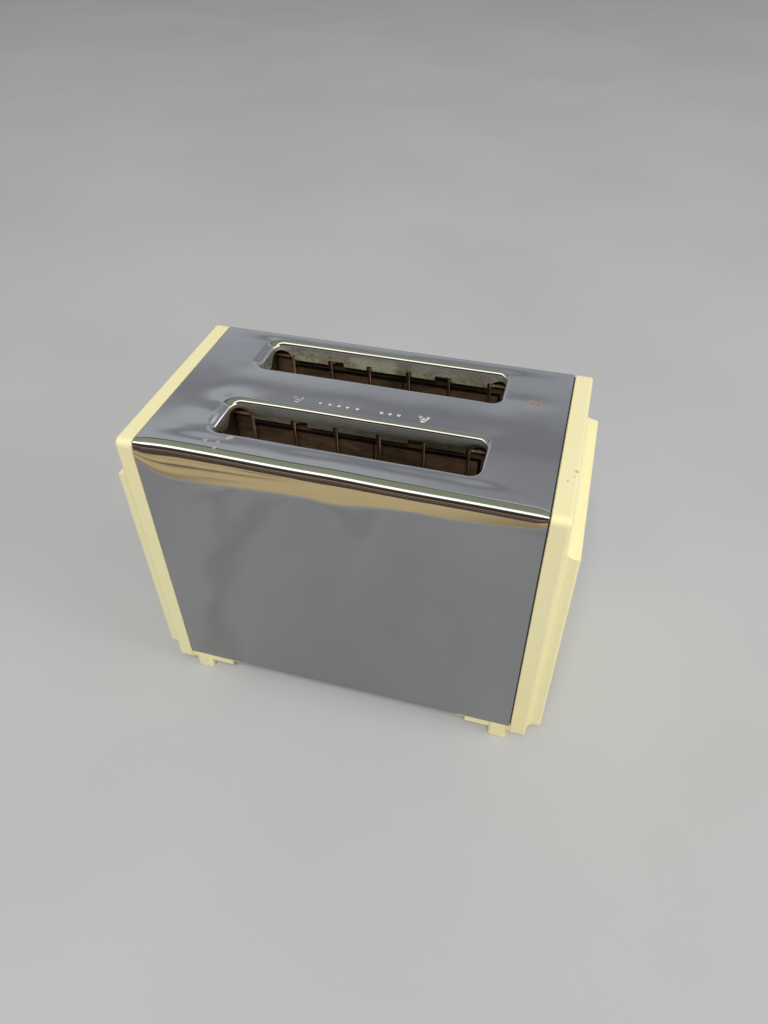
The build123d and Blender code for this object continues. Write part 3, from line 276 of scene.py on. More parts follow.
@dataclass(frozen=True)
class BrightPlate:
    """Polished plate with a heat tint inside the slots, light scuffs and a few rust specks; the
    tint is darkened over the near slot and towards the right end as painted shade.
    """

    base: Colour = (0.56, 0.565, 0.575)
    dull: Colour = (0.50, 0.51, 0.54)
    heat_light: Colour = (0.40, 0.40, 0.31)
    heat_mid: Colour = (0.20, 0.175, 0.105)
    # Darkest heat tint, also the colour of the painted shade in the slots.
    heat_dark: Colour = (0.035, 0.030, 0.020)
    rust: Colour = (0.30, 0.12, 0.055)
    pale_rust: Colour = (0.52, 0.33, 0.20)
    dust: Colour = (0.62, 0.62, 0.60)
    specks: tuple[Point, ...] = (
        (0.0962, 0.0268, 0.0022), (0.0976, 0.0258, 0.0020), (0.1001, 0.0253, 0.0025))
    pale_specks: tuple[Point, ...] = (
        (-0.0574, -0.0493, 0.0014), (-0.0506, -0.0487, 0.0012), (-0.0470, -0.0444, 0.0018),
        (-0.0456, -0.0436, 0.0014), (-0.0503, -0.0537, 0.0013), (-0.0377, -0.0508, 0.0008))

    def material(self) -> Material:
        """Builds the finish.

        Returns:
            The material.
        """
        s = Surface("bright_plate")
        heat = s.add("ShaderNodeAttribute", {"attribute_name": HEAT_TINT}, output="Fac")
        cloud = s.noise(30.0, 3.0)
        streak = s.noise(55.0, 4.0, 0.62, (1.0, 1.0, 1.6))
        fine = s.noise(900.0, 3.0, 0.65)
        blend = streak * 0.7 + fine * 0.3
        tint = s.ramp(blend, (0.36, self.heat_dark), (0.46, self.heat_mid), (0.58, self.heat_light))
        scorch = s.noise(24.0, 3.0, 0.6).ease(0.56, 0.70) * 0.6
        tint = s.mix(scorch, tint, self.rust)
        # Painted shade: darkens the heat tint over the near slot and towards the right end, so
        # those skirts look more shaded.
        painted_slot_shade = s.y.fade(0.0, 0.01) * 0.66 + s.x.ease(-0.04, 0.06) * 0.28
        tint = s.mix(painted_slot_shade * (0.75 + streak * 0.5), tint, self.heat_dark)
        stain = (heat * (0.8 + streak * 0.6)).least(1.0)
        plate = s.mix(cloud.ease(0.3, 0.75) * 0.35, self.base, self.dull)
        colour = s.mix(stain, plate, tint)
        ragged = (fine - 0.5) * 0.0022
        rusty = self.patches(s, self.specks, ragged) * 0.9
        faded = self.patches(s, self.pale_specks, ragged) * 0.75
        dusty = s.spots(130.0, 0.035) * cloud.ease(0.45, 0.6) * 0.5
        colour = s.mix(faded, s.mix(rusty, colour, self.rust), self.pale_rust)
        colour = s.mix(dusty, colour, self.dust)
        smear = s.noise(14.0, 4.0, 0.6, (1.0, 2.0, 1.0)).ease(0.45, 0.8)
        worn = rusty.most(faded).most(dusty)
        rough = 0.04 + smear * 0.05 + heat * 0.45 + worn * 0.4
        ripple = s.noise(38.0, 1.0) * 0.5 + s.noise(110.0, 1.0) * 0.12
        normal = s.bump(ripple + fine * stain * 0.6, 0.00016)
        metal = 1.0 - worn.most(stain * 0.85)
        return s.wear(base_color=colour, metallic=metal, roughness=rough, normal=normal)

    @staticmethod
    def patches(s: Surface, places: Sequence[Point], ragged: Signal) -> Signal:
        """Returns the mask of ragged patches on the top.

        Args:
            s: The tree to build it in.
            places: The place along X and Y and the reach of each patch.
            ragged: A length that tears their edges.

        Returns:
            The mask, 1 inside the patches.
        """
        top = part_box("chrome_shell")[1].z
        found = s.near((places[0][0], places[0][1], top), places[0][2], ragged)
        for x, y, radius in places[1:]:
            found = found.most(s.near((x, y, top), radius, ragged))
        return found


@dataclass(frozen=True)
class CreamMoulding:
    """Aged cream plastic, with fine grain, soft yellowing, small stains and a painted dark shade
    line where it meets the ends of the shell.
    """

    base: Colour = (0.80, 0.745, 0.445)
    aged: Colour = (0.80, 0.70, 0.37)
    stain: Colour = (0.42, 0.30, 0.09)
    # Colour and width of the painted shade in the gap under the ends of the shell.
    joint: Colour = (0.030, 0.027, 0.022)
    joint_width: float = 0.0013
    marks: tuple[tuple[float, float, float, float], ...] = (
        (0.1248, -0.0257, 0.186, 0.0013), (0.1242, -0.0300, 0.186, 0.0007),
        (0.1212, -0.0336, 0.186, 0.0007))

    def material(self) -> Material:
        """Builds the finish.

        Returns:
            The material.
        """
        s = Surface("cream_moulding")
        cloud = s.noise(11.0, 3.0)
        fine = s.noise(1400.0, 2.0)
        colour = s.mix(cloud.ease(0.35, 0.75) * 0.5, self.base, self.aged)
        ragged = (s.noise(700.0, 2.0) - 0.5) * 0.0015
        dirt = s.spots(60.0, 0.025) * 0.5
        for x, y, z, radius in self.marks:
            dirt = dirt.most(s.near((x, y, z), radius, ragged) * 0.8)
        grime = s.noise(45.0, 4.0, 0.65).ease(0.58, 0.85) * s.z.fade(0.004, 0.04) * 0.4
        colour = s.mix(dirt.most(grime), colour, self.stain)
        # Painted shade: a near-black line on the plastic just inside the ends of the shell, where
        # the gap under the sheet's edge lies in shade.
        low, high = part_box("chrome_shell")
        middle, half = (low.x + high.x) / 2, (high.x - low.x) / 2
        reach = abs(s.x - middle) - half
        painted_gap_shade = reach.ease(-self.joint_width - 0.0002, -self.joint_width) * reach.fade(-0.00004, 0.0)
        painted_gap_shade = painted_gap_shade * s.z.ease(low.z - 0.0003, low.z + 0.0003)
        colour = s.mix(painted_gap_shade, colour, self.joint)
        rough = 0.34 + cloud * 0.10 + dirt * 0.2
        normal = s.bump(fine + s.noise(160.0, 2.0) * 1.5, 0.00002)
        return s.wear(base_color=colour, roughness=rough, normal=normal)


@dataclass(frozen=True)
class SheetMetal:
    """Plain sheet or wire: two tones, a fine grain along one axis and dull patches."""

    name: str
    light: Colour
    dark: Colour
    rough: float = 0.35
    grain: Point = (1.0, 1.0, 1.0)
    patch: float = 40.0
    metallic: float = 1.0

    def material(self) -> Material:
        """Builds the finish.

        Returns:
            The material.
        """
        s = Surface(self.name)
        patch = s.noise(self.patch, 4.0, 0.6)
        grain = s.noise(900.0, 2.0, 0.6, self.grain)
        colour = s.mix((patch * 0.8 + grain * 0.2).ease(0.38, 0.66), self.light, self.dark)
        rough = self.rough - 0.08 + patch * 0.2
        normal = s.bump(grain, 0.00003)
        return s.wear(base_color=colour, metallic=self.metallic, roughness=rough, normal=normal)


@dataclass(frozen=True)
class GuardWire:
    """Copper-toned upright wires on rails that the heat has turned dark."""

    wire: Colour = (0.74, 0.43, 0.26)
    tarnish: Colour = (0.30, 0.17, 0.10)
    rail: Colour = (0.050, 0.034, 0.024)
    pitch: float = 0.024
    half_row: float = 0.060
    reach: float = 0.0011

    def material(self) -> Material:
        """Builds the finish.

        Returns:
            The material.
        """
        s = Surface("guard_wire")
        low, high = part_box("near_front_guard")
        middle = (low.x + high.x) / 2
        across = abs(s.x - middle)
        nearest = abs((across + self.pitch) % self.pitch - self.pitch / 2)
        upright = nearest.fade(self.reach * 0.8, self.reach)
        beyond = across.ease(self.half_row, self.half_row + 0.001) * 0.3
        patch = s.noise(70.0, 4.0, 0.6)
        copper = s.mix(patch.ease(0.38, 0.66), self.wire, self.tarnish)
        upright = upright * (0.15 + s.z.ease(high.z - 0.022, high.z - 0.004) * 0.85)
        colour = s.mix(upright.most(beyond), self.rail, copper)
        normal = s.bump(s.noise(900.0, 2.0), 0.00003)
        return s.wear(base_color=colour, metallic=0.5, roughness=0.32 + patch * 0.2, normal=normal)


@dataclass(frozen=True)
class Moulded:
    """Hard moulding, card, rubber or sleeve: two tones, with a grain of a stated size."""

    name: str
    light: Colour
    dark: Colour
    rough: float = 0.5
    grain: float = 500.0
    depth: float = 0.00004
    stretch: Point = (1.0, 1.0, 1.0)

    def material(self) -> Material:
        """Builds the finish.

        Returns:
            The material.
        """
        s = Surface(self.name)
        grain = s.noise(self.grain, 3.0, 0.6, self.stretch)
        cloud = s.noise(35.0, 4.0, 0.6, self.stretch)
        colour = s.mix((cloud * 0.7 + grain * 0.3).ease(0.38, 0.64), self.light, self.dark)
        rough = self.rough - 0.06 + cloud * 0.14
        return s.wear(base_color=colour, roughness=rough, normal=s.bump(grain, self.depth))


class Finish(Enum):
    """The finishes of the working pieces, by the name of their slot, and that of the marks."""

    # Painted sheen: the marks' light tone is far paler than the plate they are pressed from, so the
    # pips shine like highlights.
    pressed_marks = SheetMetal("pressed_marks", (0.93, 0.93, 0.90), (0.62, 0.60, 0.56), 0.34)
    plated_steel = SheetMetal("plated_steel", (0.50, 0.50, 0.49), (0.30, 0.29, 0.27))
    dark_steel = SheetMetal("dark_steel", (0.16, 0.14, 0.12), (0.05, 0.04, 0.035), 0.5)
    heater_card = Moulded("heater_card", (0.085, 0.052, 0.030), (0.030, 0.018, 0.011), 0.6, 260.0,
                          0.00008, (0.5, 1.0, 1.6))
    ribbon = SheetMetal("ribbon", (0.20, 0.15, 0.12), (0.07, 0.05, 0.045), 0.55)
    guard_wire = GuardWire()
    dark_plastic = Moulded("dark_plastic", (0.030, 0.018, 0.012), (0.012, 0.008, 0.006), 0.28,
                           300.0, 0.00001)
    ceramic_block = Moulded("ceramic_block", (0.72, 0.68, 0.58), (0.55, 0.50, 0.40), 0.75)
    contact_metal = SheetMetal("contact_metal", (0.70, 0.52, 0.24), (0.40, 0.28, 0.12), 0.3)
    bimetal = SheetMetal("bimetal", (0.50, 0.46, 0.40), (0.32, 0.27, 0.22), 0.35)
    lead_cover = Moulded("lead_cover", (0.55, 0.50, 0.40), (0.36, 0.32, 0.24), 0.85, 2400.0, 0.0001)
    grey_rubber = Moulded("grey_rubber", (0.055, 0.052, 0.050), (0.025, 0.024, 0.023), 0.6, 700.0)


class Bench:
    """Operators of the modelling bench, with nothing left selected between them."""

    weld = 0.00001

    @staticmethod
    def clear() -> None:
        """Deselects every object."""
        for item in bpy.context.selected_objects:
            item.select_set(False)

    @staticmethod
    def pick(*pieces: Piece) -> None:
        """Selects pieces alone, with the first as the active one."""
        Bench.clear()
        for piece in pieces:
            piece.select_set(True)
        bpy.context.view_layer.objects.active = pieces[0]

    @staticmethod
    def skin(name: str, rows: Sequence[Sequence[Point]]) -> Piece:
        """Lays a grid primitive over rows of points.

        Args:
            name: The object's name.
            rows: Rows of equally many points.

        Returns:
            The grid, with its faces in the order of the rows.
        """
        Bench.clear()
        bpy.ops.mesh.primitive_grid_add(x_subdivisions=len(rows[0]) - 1,
                                        y_subdivisions=len(rows) - 1)
        piece = bpy.context.object
        piece.name = name
        piece.matrix_world = Matrix.Identity(4)
        places = [value for row in rows for point in row for value in point]
        piece.data.vertices.foreach_set("co", places)
        piece.data.update()
        return piece

    @staticmethod
    def heat(piece: Piece, rule: Callable[[int], float]) -> None:
        """Gives each vertex its heat tint.

        Args:
            piece: The object.
            rule: The tint, 0 to 1, of the vertex at a place in the list.
        """
        tint = piece.data.attributes.new(HEAT_TINT, "FLOAT", "POINT")
        tint.data.foreach_set("value", [rule(i) for i in range(len(piece.data.vertices))])

    @staticmethod
    def join(pieces: Sequence[Piece], name: str) -> Piece:
        """Joins pieces and welds what meets.

        Args:
            pieces: The pieces, of which the first stays.
            name: The name of the whole.

        Returns:
            The whole.
        """
        Bench.pick(*pieces)
        bpy.ops.object.join()
        whole = bpy.context.object
        whole.name = whole.data.name = name
        Bench.edit(whole, lambda: bpy.ops.mesh.remove_doubles(threshold=Bench.weld))
        return whole

    @staticmethod
    def edit(piece: Piece, work: Callable[[], object],
             chosen: Callable[[bmesh.types.BMFace], bool] | None = None) -> None:
        """Runs an operator in edit mode.

        Args:
            piece: The object.
            work: What calls the operator.
            chosen: A test that picks the faces to select, or None for the whole piece.
        """
        Bench.pick(piece)
        bpy.ops.object.mode_set(mode="EDIT")
        bpy.ops.mesh.select_mode(type="FACE" if chosen else "VERT")
        bpy.ops.mesh.select_all(action="DESELECT" if chosen else "SELECT")
        if chosen:
            bm = bmesh.from_edit_mesh(piece.data)
            for face in bm.faces:
                if chosen(face):
                    face.select_set(True)
            bmesh.update_edit_mesh(piece.data)
        work()
        bpy.ops.object.mode_set(mode="OBJECT")

    @staticmethod
    def modify(piece: Piece, kind: str, **settings: object) -> None:
        """Adds a modifier and applies it."""
        Bench.pick(piece)
        modifier = piece.modifiers.new(kind.lower(), kind)
        for key, value in settings.items():
            setattr(modifier, key, value)
        bpy.ops.object.modifier_apply(modifier=modifier.name)

    @staticmethod
    def smooth(piece: Piece, degrees: float) -> None:
        """Shades a piece smooth, except across edges sharper than an angle."""
        Bench.pick(piece)
        bpy.ops.object.shade_smooth_by_angle(angle=math.radians(degrees))

    @staticmethod
    def finish(piece: Piece, body: str, slot: str, material: Material,
               *nodes: str) -> Piece:
        """Dresses a piece, hangs it on its body and hides the CAD nodes that it replaces.

        Args:
            piece: The finished object.
            body: The body that it rides on.
            slot: Its material slot in the record; not used.
            material: Its material.
            nodes: The CAD nodes that it replaces.

        Returns:
            The piece.
        """
        piece.data.materials.clear()
        piece.data.materials.append(material)
        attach(piece, body)
        if nodes:
            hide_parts(*nodes)
        log.info("%s: %d faces", piece.name, len(piece.data.polygons))
        return piece


def between(low: float, high: float, share: float) -> float:
    """Returns the value a share of the way from low to high."""
    return low + (high - low) * share


def soft_step(value: float, low: float, high: float) -> float:
    """Returns 0 below low and 1 above high, with a soft step between."""
    share = min(1.0, max(0.0, (value - low) / (high - low)))
    return share * share * (3.0 - 2.0 * share)


@dataclass
class Column:
    """One line of points that runs down a slot's wall and out over the top."""

    base: Pair
    out: Pair
    target: Pair


@dataclass(frozen=True)
class Dent:
    """A shallow dent in the top: its middle, its reach along X and Y, and its depth."""

    x: float
    y: float
    long: float
    wide: float
    depth: float


@dataclass
class BrightShell:
    """The bright sheet, folded over front, top and rear, with two rolled slots."""

    sheet: float = 0.0008
    lip: float = 0.003
    left_lip: float = 0.0055
    right_lip: float = 0.0022
    slot_half_x: float = 0.0695
    slot_half_y: float = 0.014
    slot_shift: float = -0.0015
    corner: float = 0.005
    skirt: float = 0.0113
    notch: float = 0.0028
    relief_height: float = 0.0060
    relief_reach: float = 0.0085
    tight_fold: float = 0.0057
    end_fold: float = 0.0040
    lead_angle: float = 14.0
    low_angle: float = 3.5
    rear_fold: float = 0.003
    hem: float = 0.001
    hem_width: float = 0.008
    right_gap: float = 0.0008
    sag: float = 0.00022
    wave: float = 0.00006
    face_wave: float = 0.00005
    fold_drop: float = 0.0190
    fold_slope: float = 0.059
    dents: tuple[Dent, ...] = (
        Dent(-0.074, -0.015, 0.0120, 0.0075, 0.00040),
        Dent(-0.080, -0.035, 0.0110, 0.0080, 0.00030),
        Dent(0.078, 0.027, 0.0150, 0.0050, 0.00022),
        Dent(-0.094, -0.036, 0.0100, 0.0100, -0.00004),
        Dent(0.0, -0.003, 0.0600, 0.0100, 0.00014))
    fold_start: float = 0.0105
    rear_start: float = 0.001
    roll_steps: int = 9
    side_half: float = 0.008
    edge_half: float = 0.073
    notch_spans: tuple[Pair, ...] = (
        (0.0105, 0.0135), (0.0277, 0.0375), (0.0585, 0.0615))
    column_x: tuple[float, ...] = (
        0.0, 0.004, 0.008, 0.0105, 0.012, 0.0135, 0.018, 0.023, 0.0277, 0.032, 0.0375, 0.043,
        0.049, 0.054, 0.0585, 0.060, 0.0615, 0.063)
    top_shares: tuple[float, ...] = (0.035, 0.085, 0.15, 0.23, 0.33, 0.45, 0.58, 0.72, 0.86, 1.0)
    skirt_shares: tuple[float, ...] = (0.25, 0.5, 0.75, 1.0)

    def __post_init__(self) -> None:
        """Reads the shell's box and the slots' middles from the frame."""
        self.low, self.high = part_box("chrome_shell")
        self.mid_x = (self.low.x + self.high.x) / 2
        self.half_x = (self.high.x - self.low.x) / 2
        self.ends = {-1: -self.half_x, 1: self.half_x - self.right_gap}
        self.slots = []
        for side in ("near", "far"):
            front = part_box(f"{side}_front_guard")[0].y
            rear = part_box(f"{side}_rear_guard")[1].y
            self.slots.append((front + rear) / 2)
        self.seam_y = sum(self.slots) / 2
        self.front_y = self.low.y + self.fold_start
        self.rear_y = self.high.y - self.rear_fold - self.rear_start

    def roll(self, out: Pair) -> float:
        """Returns the width of the rolled lip where it faces a direction."""
        if out[0] < 0:
            return between(self.lip, self.left_lip, out[0] ** 6)
        return between(self.lip, self.right_lip, out[0] ** 2)

    def columns(self, slot_y: float, front_y: float, rear_y: float) -> list[Column]:
        """Lays out the columns round one slot, counterclockwise from the front left.

        Args:
            slot_y: The slot's middle.
            front_y: The front edge of the slot's half of the top.
            rear_y: The rear edge of that half.

        Returns:
            The columns.
        """
        straight = self.slot_half_x - self.corner
        places = [*self.column_x, straight]
        line = [-x for x in reversed(places[1:])] + places
        spread, steps = self.edge_half / straight, 16
        found = []

        def corner(centre: Pair, start: float, edge_y: float) -> None:
            """Adds the columns of one corner."""
            side_x = 1 if centre[0] > 0 else -1
            side_y = 1 if centre[1] > 0 else -1
            for i in range(1, steps):
                angle = math.radians(start + 90.0 * i / steps)
                out = (math.cos(angle), math.sin(angle))
                base = (centre[0] + self.corner * out[0], centre[1] + self.corner * out[1])
                lean = math.degrees(math.atan2(abs(out[1]), abs(out[0]))) / 45.0
                if lean <= 1.0:
                    end_y = side_y * between(self.side_half, abs(edge_y - slot_y), lean)
                    goal = (self.ends[side_x], end_y)
                else:
                    share = (2.0 - lean) ** 0.55
                    goal_x = between(side_x * self.edge_half, self.ends[side_x], share)
                    goal = (goal_x, edge_y - slot_y)
                found.append(Column(base, out, goal))

        centre_x, centre_y = straight, self.slot_half_y - self.corner
        for x in line:
            goal = (x * spread, front_y - slot_y)
            found.append(Column((x, -self.slot_half_y), (0.0, -1.0), goal))
        corner((centre_x, -centre_y), -90.0, front_y)
        for side in (1, -1):
            for i in range(7):
                y = side * between(-centre_y, centre_y, i / 6)
                goal = (self.ends[side], y * self.side_half / centre_y)
                found.append(Column((side * self.slot_half_x, y), (float(side), 0.0), goal))
            edge_y = rear_y if side > 0 else front_y
            corner((side * centre_x, side * centre_y), 90.0 - 90.0 * side, edge_y)
            if side > 0:
                for x in reversed(line):
                    goal = (x * spread, rear_y - slot_y)
                    found.append(Column((x, self.slot_half_y), (0.0, 1.0), goal))
                corner((-centre_x, centre_y), 90.0, rear_y)
        found.append(found[0])
        return found

    def top(self, x: float, y: float) -> float:
        """Returns the height of the pressed top at a place.

        Args:
            x: The place along the slots, from the shell's middle.
            y: The place across the slots.

        Returns:
            The height, with the sag at the slots, the dents and a slight wave.
        """
        drop = 0.0
        for slot_y in self.slots:
            gap_x = max(0.0, abs(x - self.slot_shift) - self.slot_half_x)
            gap_y = max(0.0, abs(y - slot_y) - self.slot_half_y)
            gap = math.hypot(gap_x, gap_y)
            ends = 0.7 + 0.6 * soft_step(abs(x), 0.045, 0.07)
            drop += self.sag * ends * math.exp(-((gap / 0.0095) ** 2))
        for dent in self.dents:
            reach = ((x - dent.x) / dent.long) ** 2 + ((y - dent.y) / dent.wide) ** 2
            drop += dent.depth * math.exp(-reach)
        wave = math.sin(x * 61.0 + y * 47.0) * math.sin(y * 83.0 - x * 22.0 + 0.7)
        wave += 0.6 * math.sin(x * 118.0 - y * 64.0 + 1.3)
        calm = 1.0 - soft_step(abs(x), self.half_x - 0.014, self.half_x)
        calm *= soft_step(y, self.front_y, self.front_y + 0.008)
        calm *= 1.0 - soft_step(y, self.rear_y - 0.008, self.rear_y)
        return self.high.z - (drop + self.wave * (1.4 + wave)) * calm

    def place(self, column: Column, slot_y: float, gap: float) -> Pair:
        """Returns where a column is at a gap outside the slot's wall, from the shell's middle."""
        x = self.slot_shift + column.base[0] + gap * column.out[0]
        return x, slot_y + column.base[1] + gap * column.out[1]

    def slot_patch(self, slot_y: float, front_y: float, rear_y: float) -> Piece:
        """Makes one half of the top with its slot's lip and skirt.

        Args:
            slot_y: The slot's middle.
            front_y: The front edge of this half of the top.
            rear_y: Its rear edge.

        Returns:
            The half, open at its edges.
        """
        columns = self.columns(slot_y, front_y, rear_y)
        rolls = self.roll_steps
        bottom = self.high.z - self.skirt
        rows = []
        heats = []
        for share in self.top_shares[::-1]:
            row = []
            for c in columns:
                start_x, start_y = self.place(c, slot_y, self.roll(c.out))
                x = between(start_x, c.target[0], share)
                y = between(start_y, slot_y + c.target[1], share)
                row.append((self.mid_x + x, y, self.top(x, y)))
            rows.append(row)
            heats.append(0.0)
        for i in range(rolls + 1):
            angle = math.pi / 2 * i / rolls
            drop = self.lip * (1.0 - math.cos(angle))
            row = []
            for c in columns:
                x, y = self.place(c, slot_y, self.roll(c.out) * (1.0 - math.sin(angle)))
                row.append((self.mid_x + x, y, self.top(x, y) - drop))
            rows.append(row)
            heats.append(soft_step(i / rolls, 0.72, 1.0) * 0.45)
        feet = [bottom + self.relief(c) for c in columns]
        lip_low = rows[-1]
        for share in self.skirt_shares:
            row = []
            for foot, (x, y, z) in zip(feet, lip_low):
                first = foot + self.notch * (z - foot) / (z - bottom)
                row.append((x, y, between(z, first, share)))
            rows.append(row)
            heats.append(between(0.6, 0.95, share))
        rows.append([(x, y, foot) for foot, (x, y, _) in zip(feet, lip_low)])
        heats.append(1.0)
        count = len(columns)
        patch = Bench.skin("slot_patch", rows)
        Bench.heat(patch, lambda i: heats[i // count])
        self.cut_notches(patch, bottom)
        return patch

    def relief(self, column: Column) -> float:
        """Returns how far the relief at a slot's corner raises the skirt's edge at a column."""
        inset = self.corner * 0.3
        across = abs(column.base[0]) - self.slot_half_x + inset
        along = abs(column.base[1]) - self.slot_half_y + inset
        reach = math.hypot(across, along) / self.relief_reach
        return self.relief_height * math.sqrt(max(0.0, 1.0 - reach ** 2))

    def cut_notches(self, patch: Piece, bottom: float) -> None:
        """Opens the notches for the guard wires in a skirt's lower edge."""
        edge = bottom + self.notch

        def in_notch(face: bmesh.types.BMFace) -> bool:
            """Says whether a face fills a notch."""
            middle = face.calc_center_median()
            x = abs(middle.x - self.mid_x - self.slot_shift)
            return middle.z < edge and any(low < x < high for low, high in self.notch_spans)

        Bench.edit(patch, lambda: bpy.ops.mesh.delete(type="FACE"), in_notch)

    def edge_line(self, slot_y: float, front_y: float, rear_y: float, edge_y: float) -> list[float]:
        """Returns the places along X at which a half of the top meets one of its long edges."""
        goals = {round(c.target[0], 9) for c in self.columns(slot_y, front_y, rear_y)
                 if abs(c.target[1] + slot_y - edge_y) < 1e-9}
        return sorted(goals | set(self.ends.values()))

    def fold_sizes(self, x: float) -> Pair:
        """Returns the tight radius and the lead-in radius of the front fold at a place.

        The lead-in reaches furthest down near the left end and gets shorter to the right.
        """
        end = soft_step(abs(x), self.half_x - 0.006, self.half_x)
        tight = between(self.tight_fold, self.end_fold, end)
        drop = self.fold_drop - self.fold_slope * (x + 0.091) + 0.0005 * math.sin(x * 95.0 + 1.2)
        drop += 0.0014 * math.exp(-(((x - 0.002) / 0.013) ** 2))
        drop *= 0.45 + 0.55 * math.sin(math.pi / 2 * min(1.0, (x + self.half_x) / 0.022))
        drop *= 1.0 - 0.35 * soft_step(x, self.half_x - 0.005, self.half_x)
        high, low = math.sin(math.radians(self.lead_angle)), math.sin(math.radians(self.low_angle))
        return tight, max(0.006, (drop - tight * (1.0 - high)) / (high - low))

    def hem_curve(self) -> list[Pair]:
        """Returns the steps of the fold above a hem, as insets and drops."""
        turns = [math.pi / 2 * i / 5 for i in range(1, 6)]
        return [(self.hem * (1 - math.cos(turn)), self.hem * math.sin(turn)) for turn in turns]

    def front_strip(self, xs: Sequence[float]) -> Piece:
        """Makes the front: the long soft fold, the face and the hem below it."""
        lean = math.radians(self.lead_angle)
        profiles = []
        for x in xs:
            tight, lead = self.fold_sizes(x)
            start_y = self.low.y + lead * (1 - math.cos(lean)) + tight * math.cos(lean)
            top = self.top(x, self.front_y)
            points = [(between(self.front_y, start_y, i / 4), top) for i in range(5)]
            for i in range(1, 15):
                tilt = between(math.pi / 2, lean, i / 14)
                points.append((start_y - tight * math.cos(tilt),
                               top - tight + tight * math.sin(tilt)))
            bend_y = self.low.y + lead
            bend_z = points[-1][1] - lead * math.sin(lean)
            for i in range(1, 13):
                tilt = lean * (1 - i / 12)
                points.append((bend_y - lead * math.cos(tilt), bend_z + lead * math.sin(tilt)))
            hem_z = self.low.z + self.hem
            for i in range(1, 25):
                z = between(bend_z, hem_z, i / 24)
                calm = soft_step(bend_z - z, 0.0, 0.02) * soft_step(z - hem_z, 0.0, 0.02)
                wave = math.sin(x * 43.0 + z * 31.0) + math.sin(z * 67.0 - x * 29.0 + 2.0)
                points.append((self.low.y + self.face_wave * (2.0 + wave) * calm, z))
            for inset, drop in self.hem_curve():
                points.append((self.low.y + inset, hem_z - drop))
            points.append((self.low.y + self.hem_width, self.low.z))
            profiles.append(points)
        rows = [[(self.mid_x + x, *profile[i]) for x, profile in zip(xs, profiles)]
                for i in range(len(profiles[0]))]
        return Bench.skin("front_strip", rows[::-1])

    def rear_strip(self, xs: Sequence[float]) -> Piece:
        """Makes the rear: its fold, the face and the hem below it."""
        rows = []

        def row(y: float | Callable[[float], float], z: Callable[[float], float]) -> None:
            """Adds one row."""
            rows.append([(self.mid_x + x, y if isinstance(y, float) else y(x), z(x)) for x in xs])

        radius = self.rear_fold
        centre_y = self.high.y - radius
        row(self.rear_y, lambda x: self.top(x, self.rear_y))
        for i in range(13):
            turn = math.pi / 2 * i / 12
            row(centre_y + radius * math.sin(turn),
                lambda x, turn=turn: self.top(x, self.rear_y) - radius * (1 - math.cos(turn)))
        hem_z = self.low.z + self.hem
        start_z = self.high.z - radius - 0.001
        for i in range(17):
            z = between(start_z, hem_z, i / 16)
            calm = soft_step(start_z - z, 0.0, 0.02) * soft_step(z - hem_z, 0.0, 0.02)
            row(lambda x, z=z, calm=calm: self.high.y - self.wave * calm * (
                2.0 + math.sin(x * 39.0 - z * 33.0) + math.sin(z * 57.0 + x * 27.0)),
                lambda x, z=z: z)
        for inset, drop in self.hem_curve():
            row(self.high.y - inset, lambda x, drop=drop: hem_z - drop)
        row(self.high.y - self.hem_width, lambda x: self.low.z)
        return Bench.skin("rear_strip", rows)

    def build(self, finish: Material) -> Piece:
        """Makes the whole shell.

        Args:
            finish: The bright plate's material.

        Returns:
            The shell.
        """
        near_y, far_y = self.slots
        near = self.slot_patch(near_y, self.front_y, self.seam_y)
        far = self.slot_patch(far_y, self.seam_y, self.rear_y)
        front = self.front_strip(self.edge_line(near_y, self.front_y, self.seam_y, self.front_y))
        rear = self.rear_strip(self.edge_line(far_y, self.seam_y, self.rear_y, self.rear_y))
        shell = Bench.join([near, far, front, rear], "bright_shell")
        Bench.edit(shell, lambda: bpy.ops.mesh.normals_make_consistent(inside=False))
        self.face_out(shell)
        Bench.modify(shell, "SOLIDIFY", thickness=self.sheet, offset=-1.0, use_even_offset=True)
        Bench.smooth(shell, 40.0)
        return Bench.finish(shell, "chassis", "bright_shell", finish, "chrome_shell")

    def face_out(self, shell: Piece) -> None:
        """Turns the sheet round if its front faces inwards."""
        front = min(shell.data.polygons, key=lambda face: abs(face.center.y - self.low.y))
        if front.normal.y > 0:
            Bench.edit(shell, lambda: bpy.ops.mesh.flip_normals())


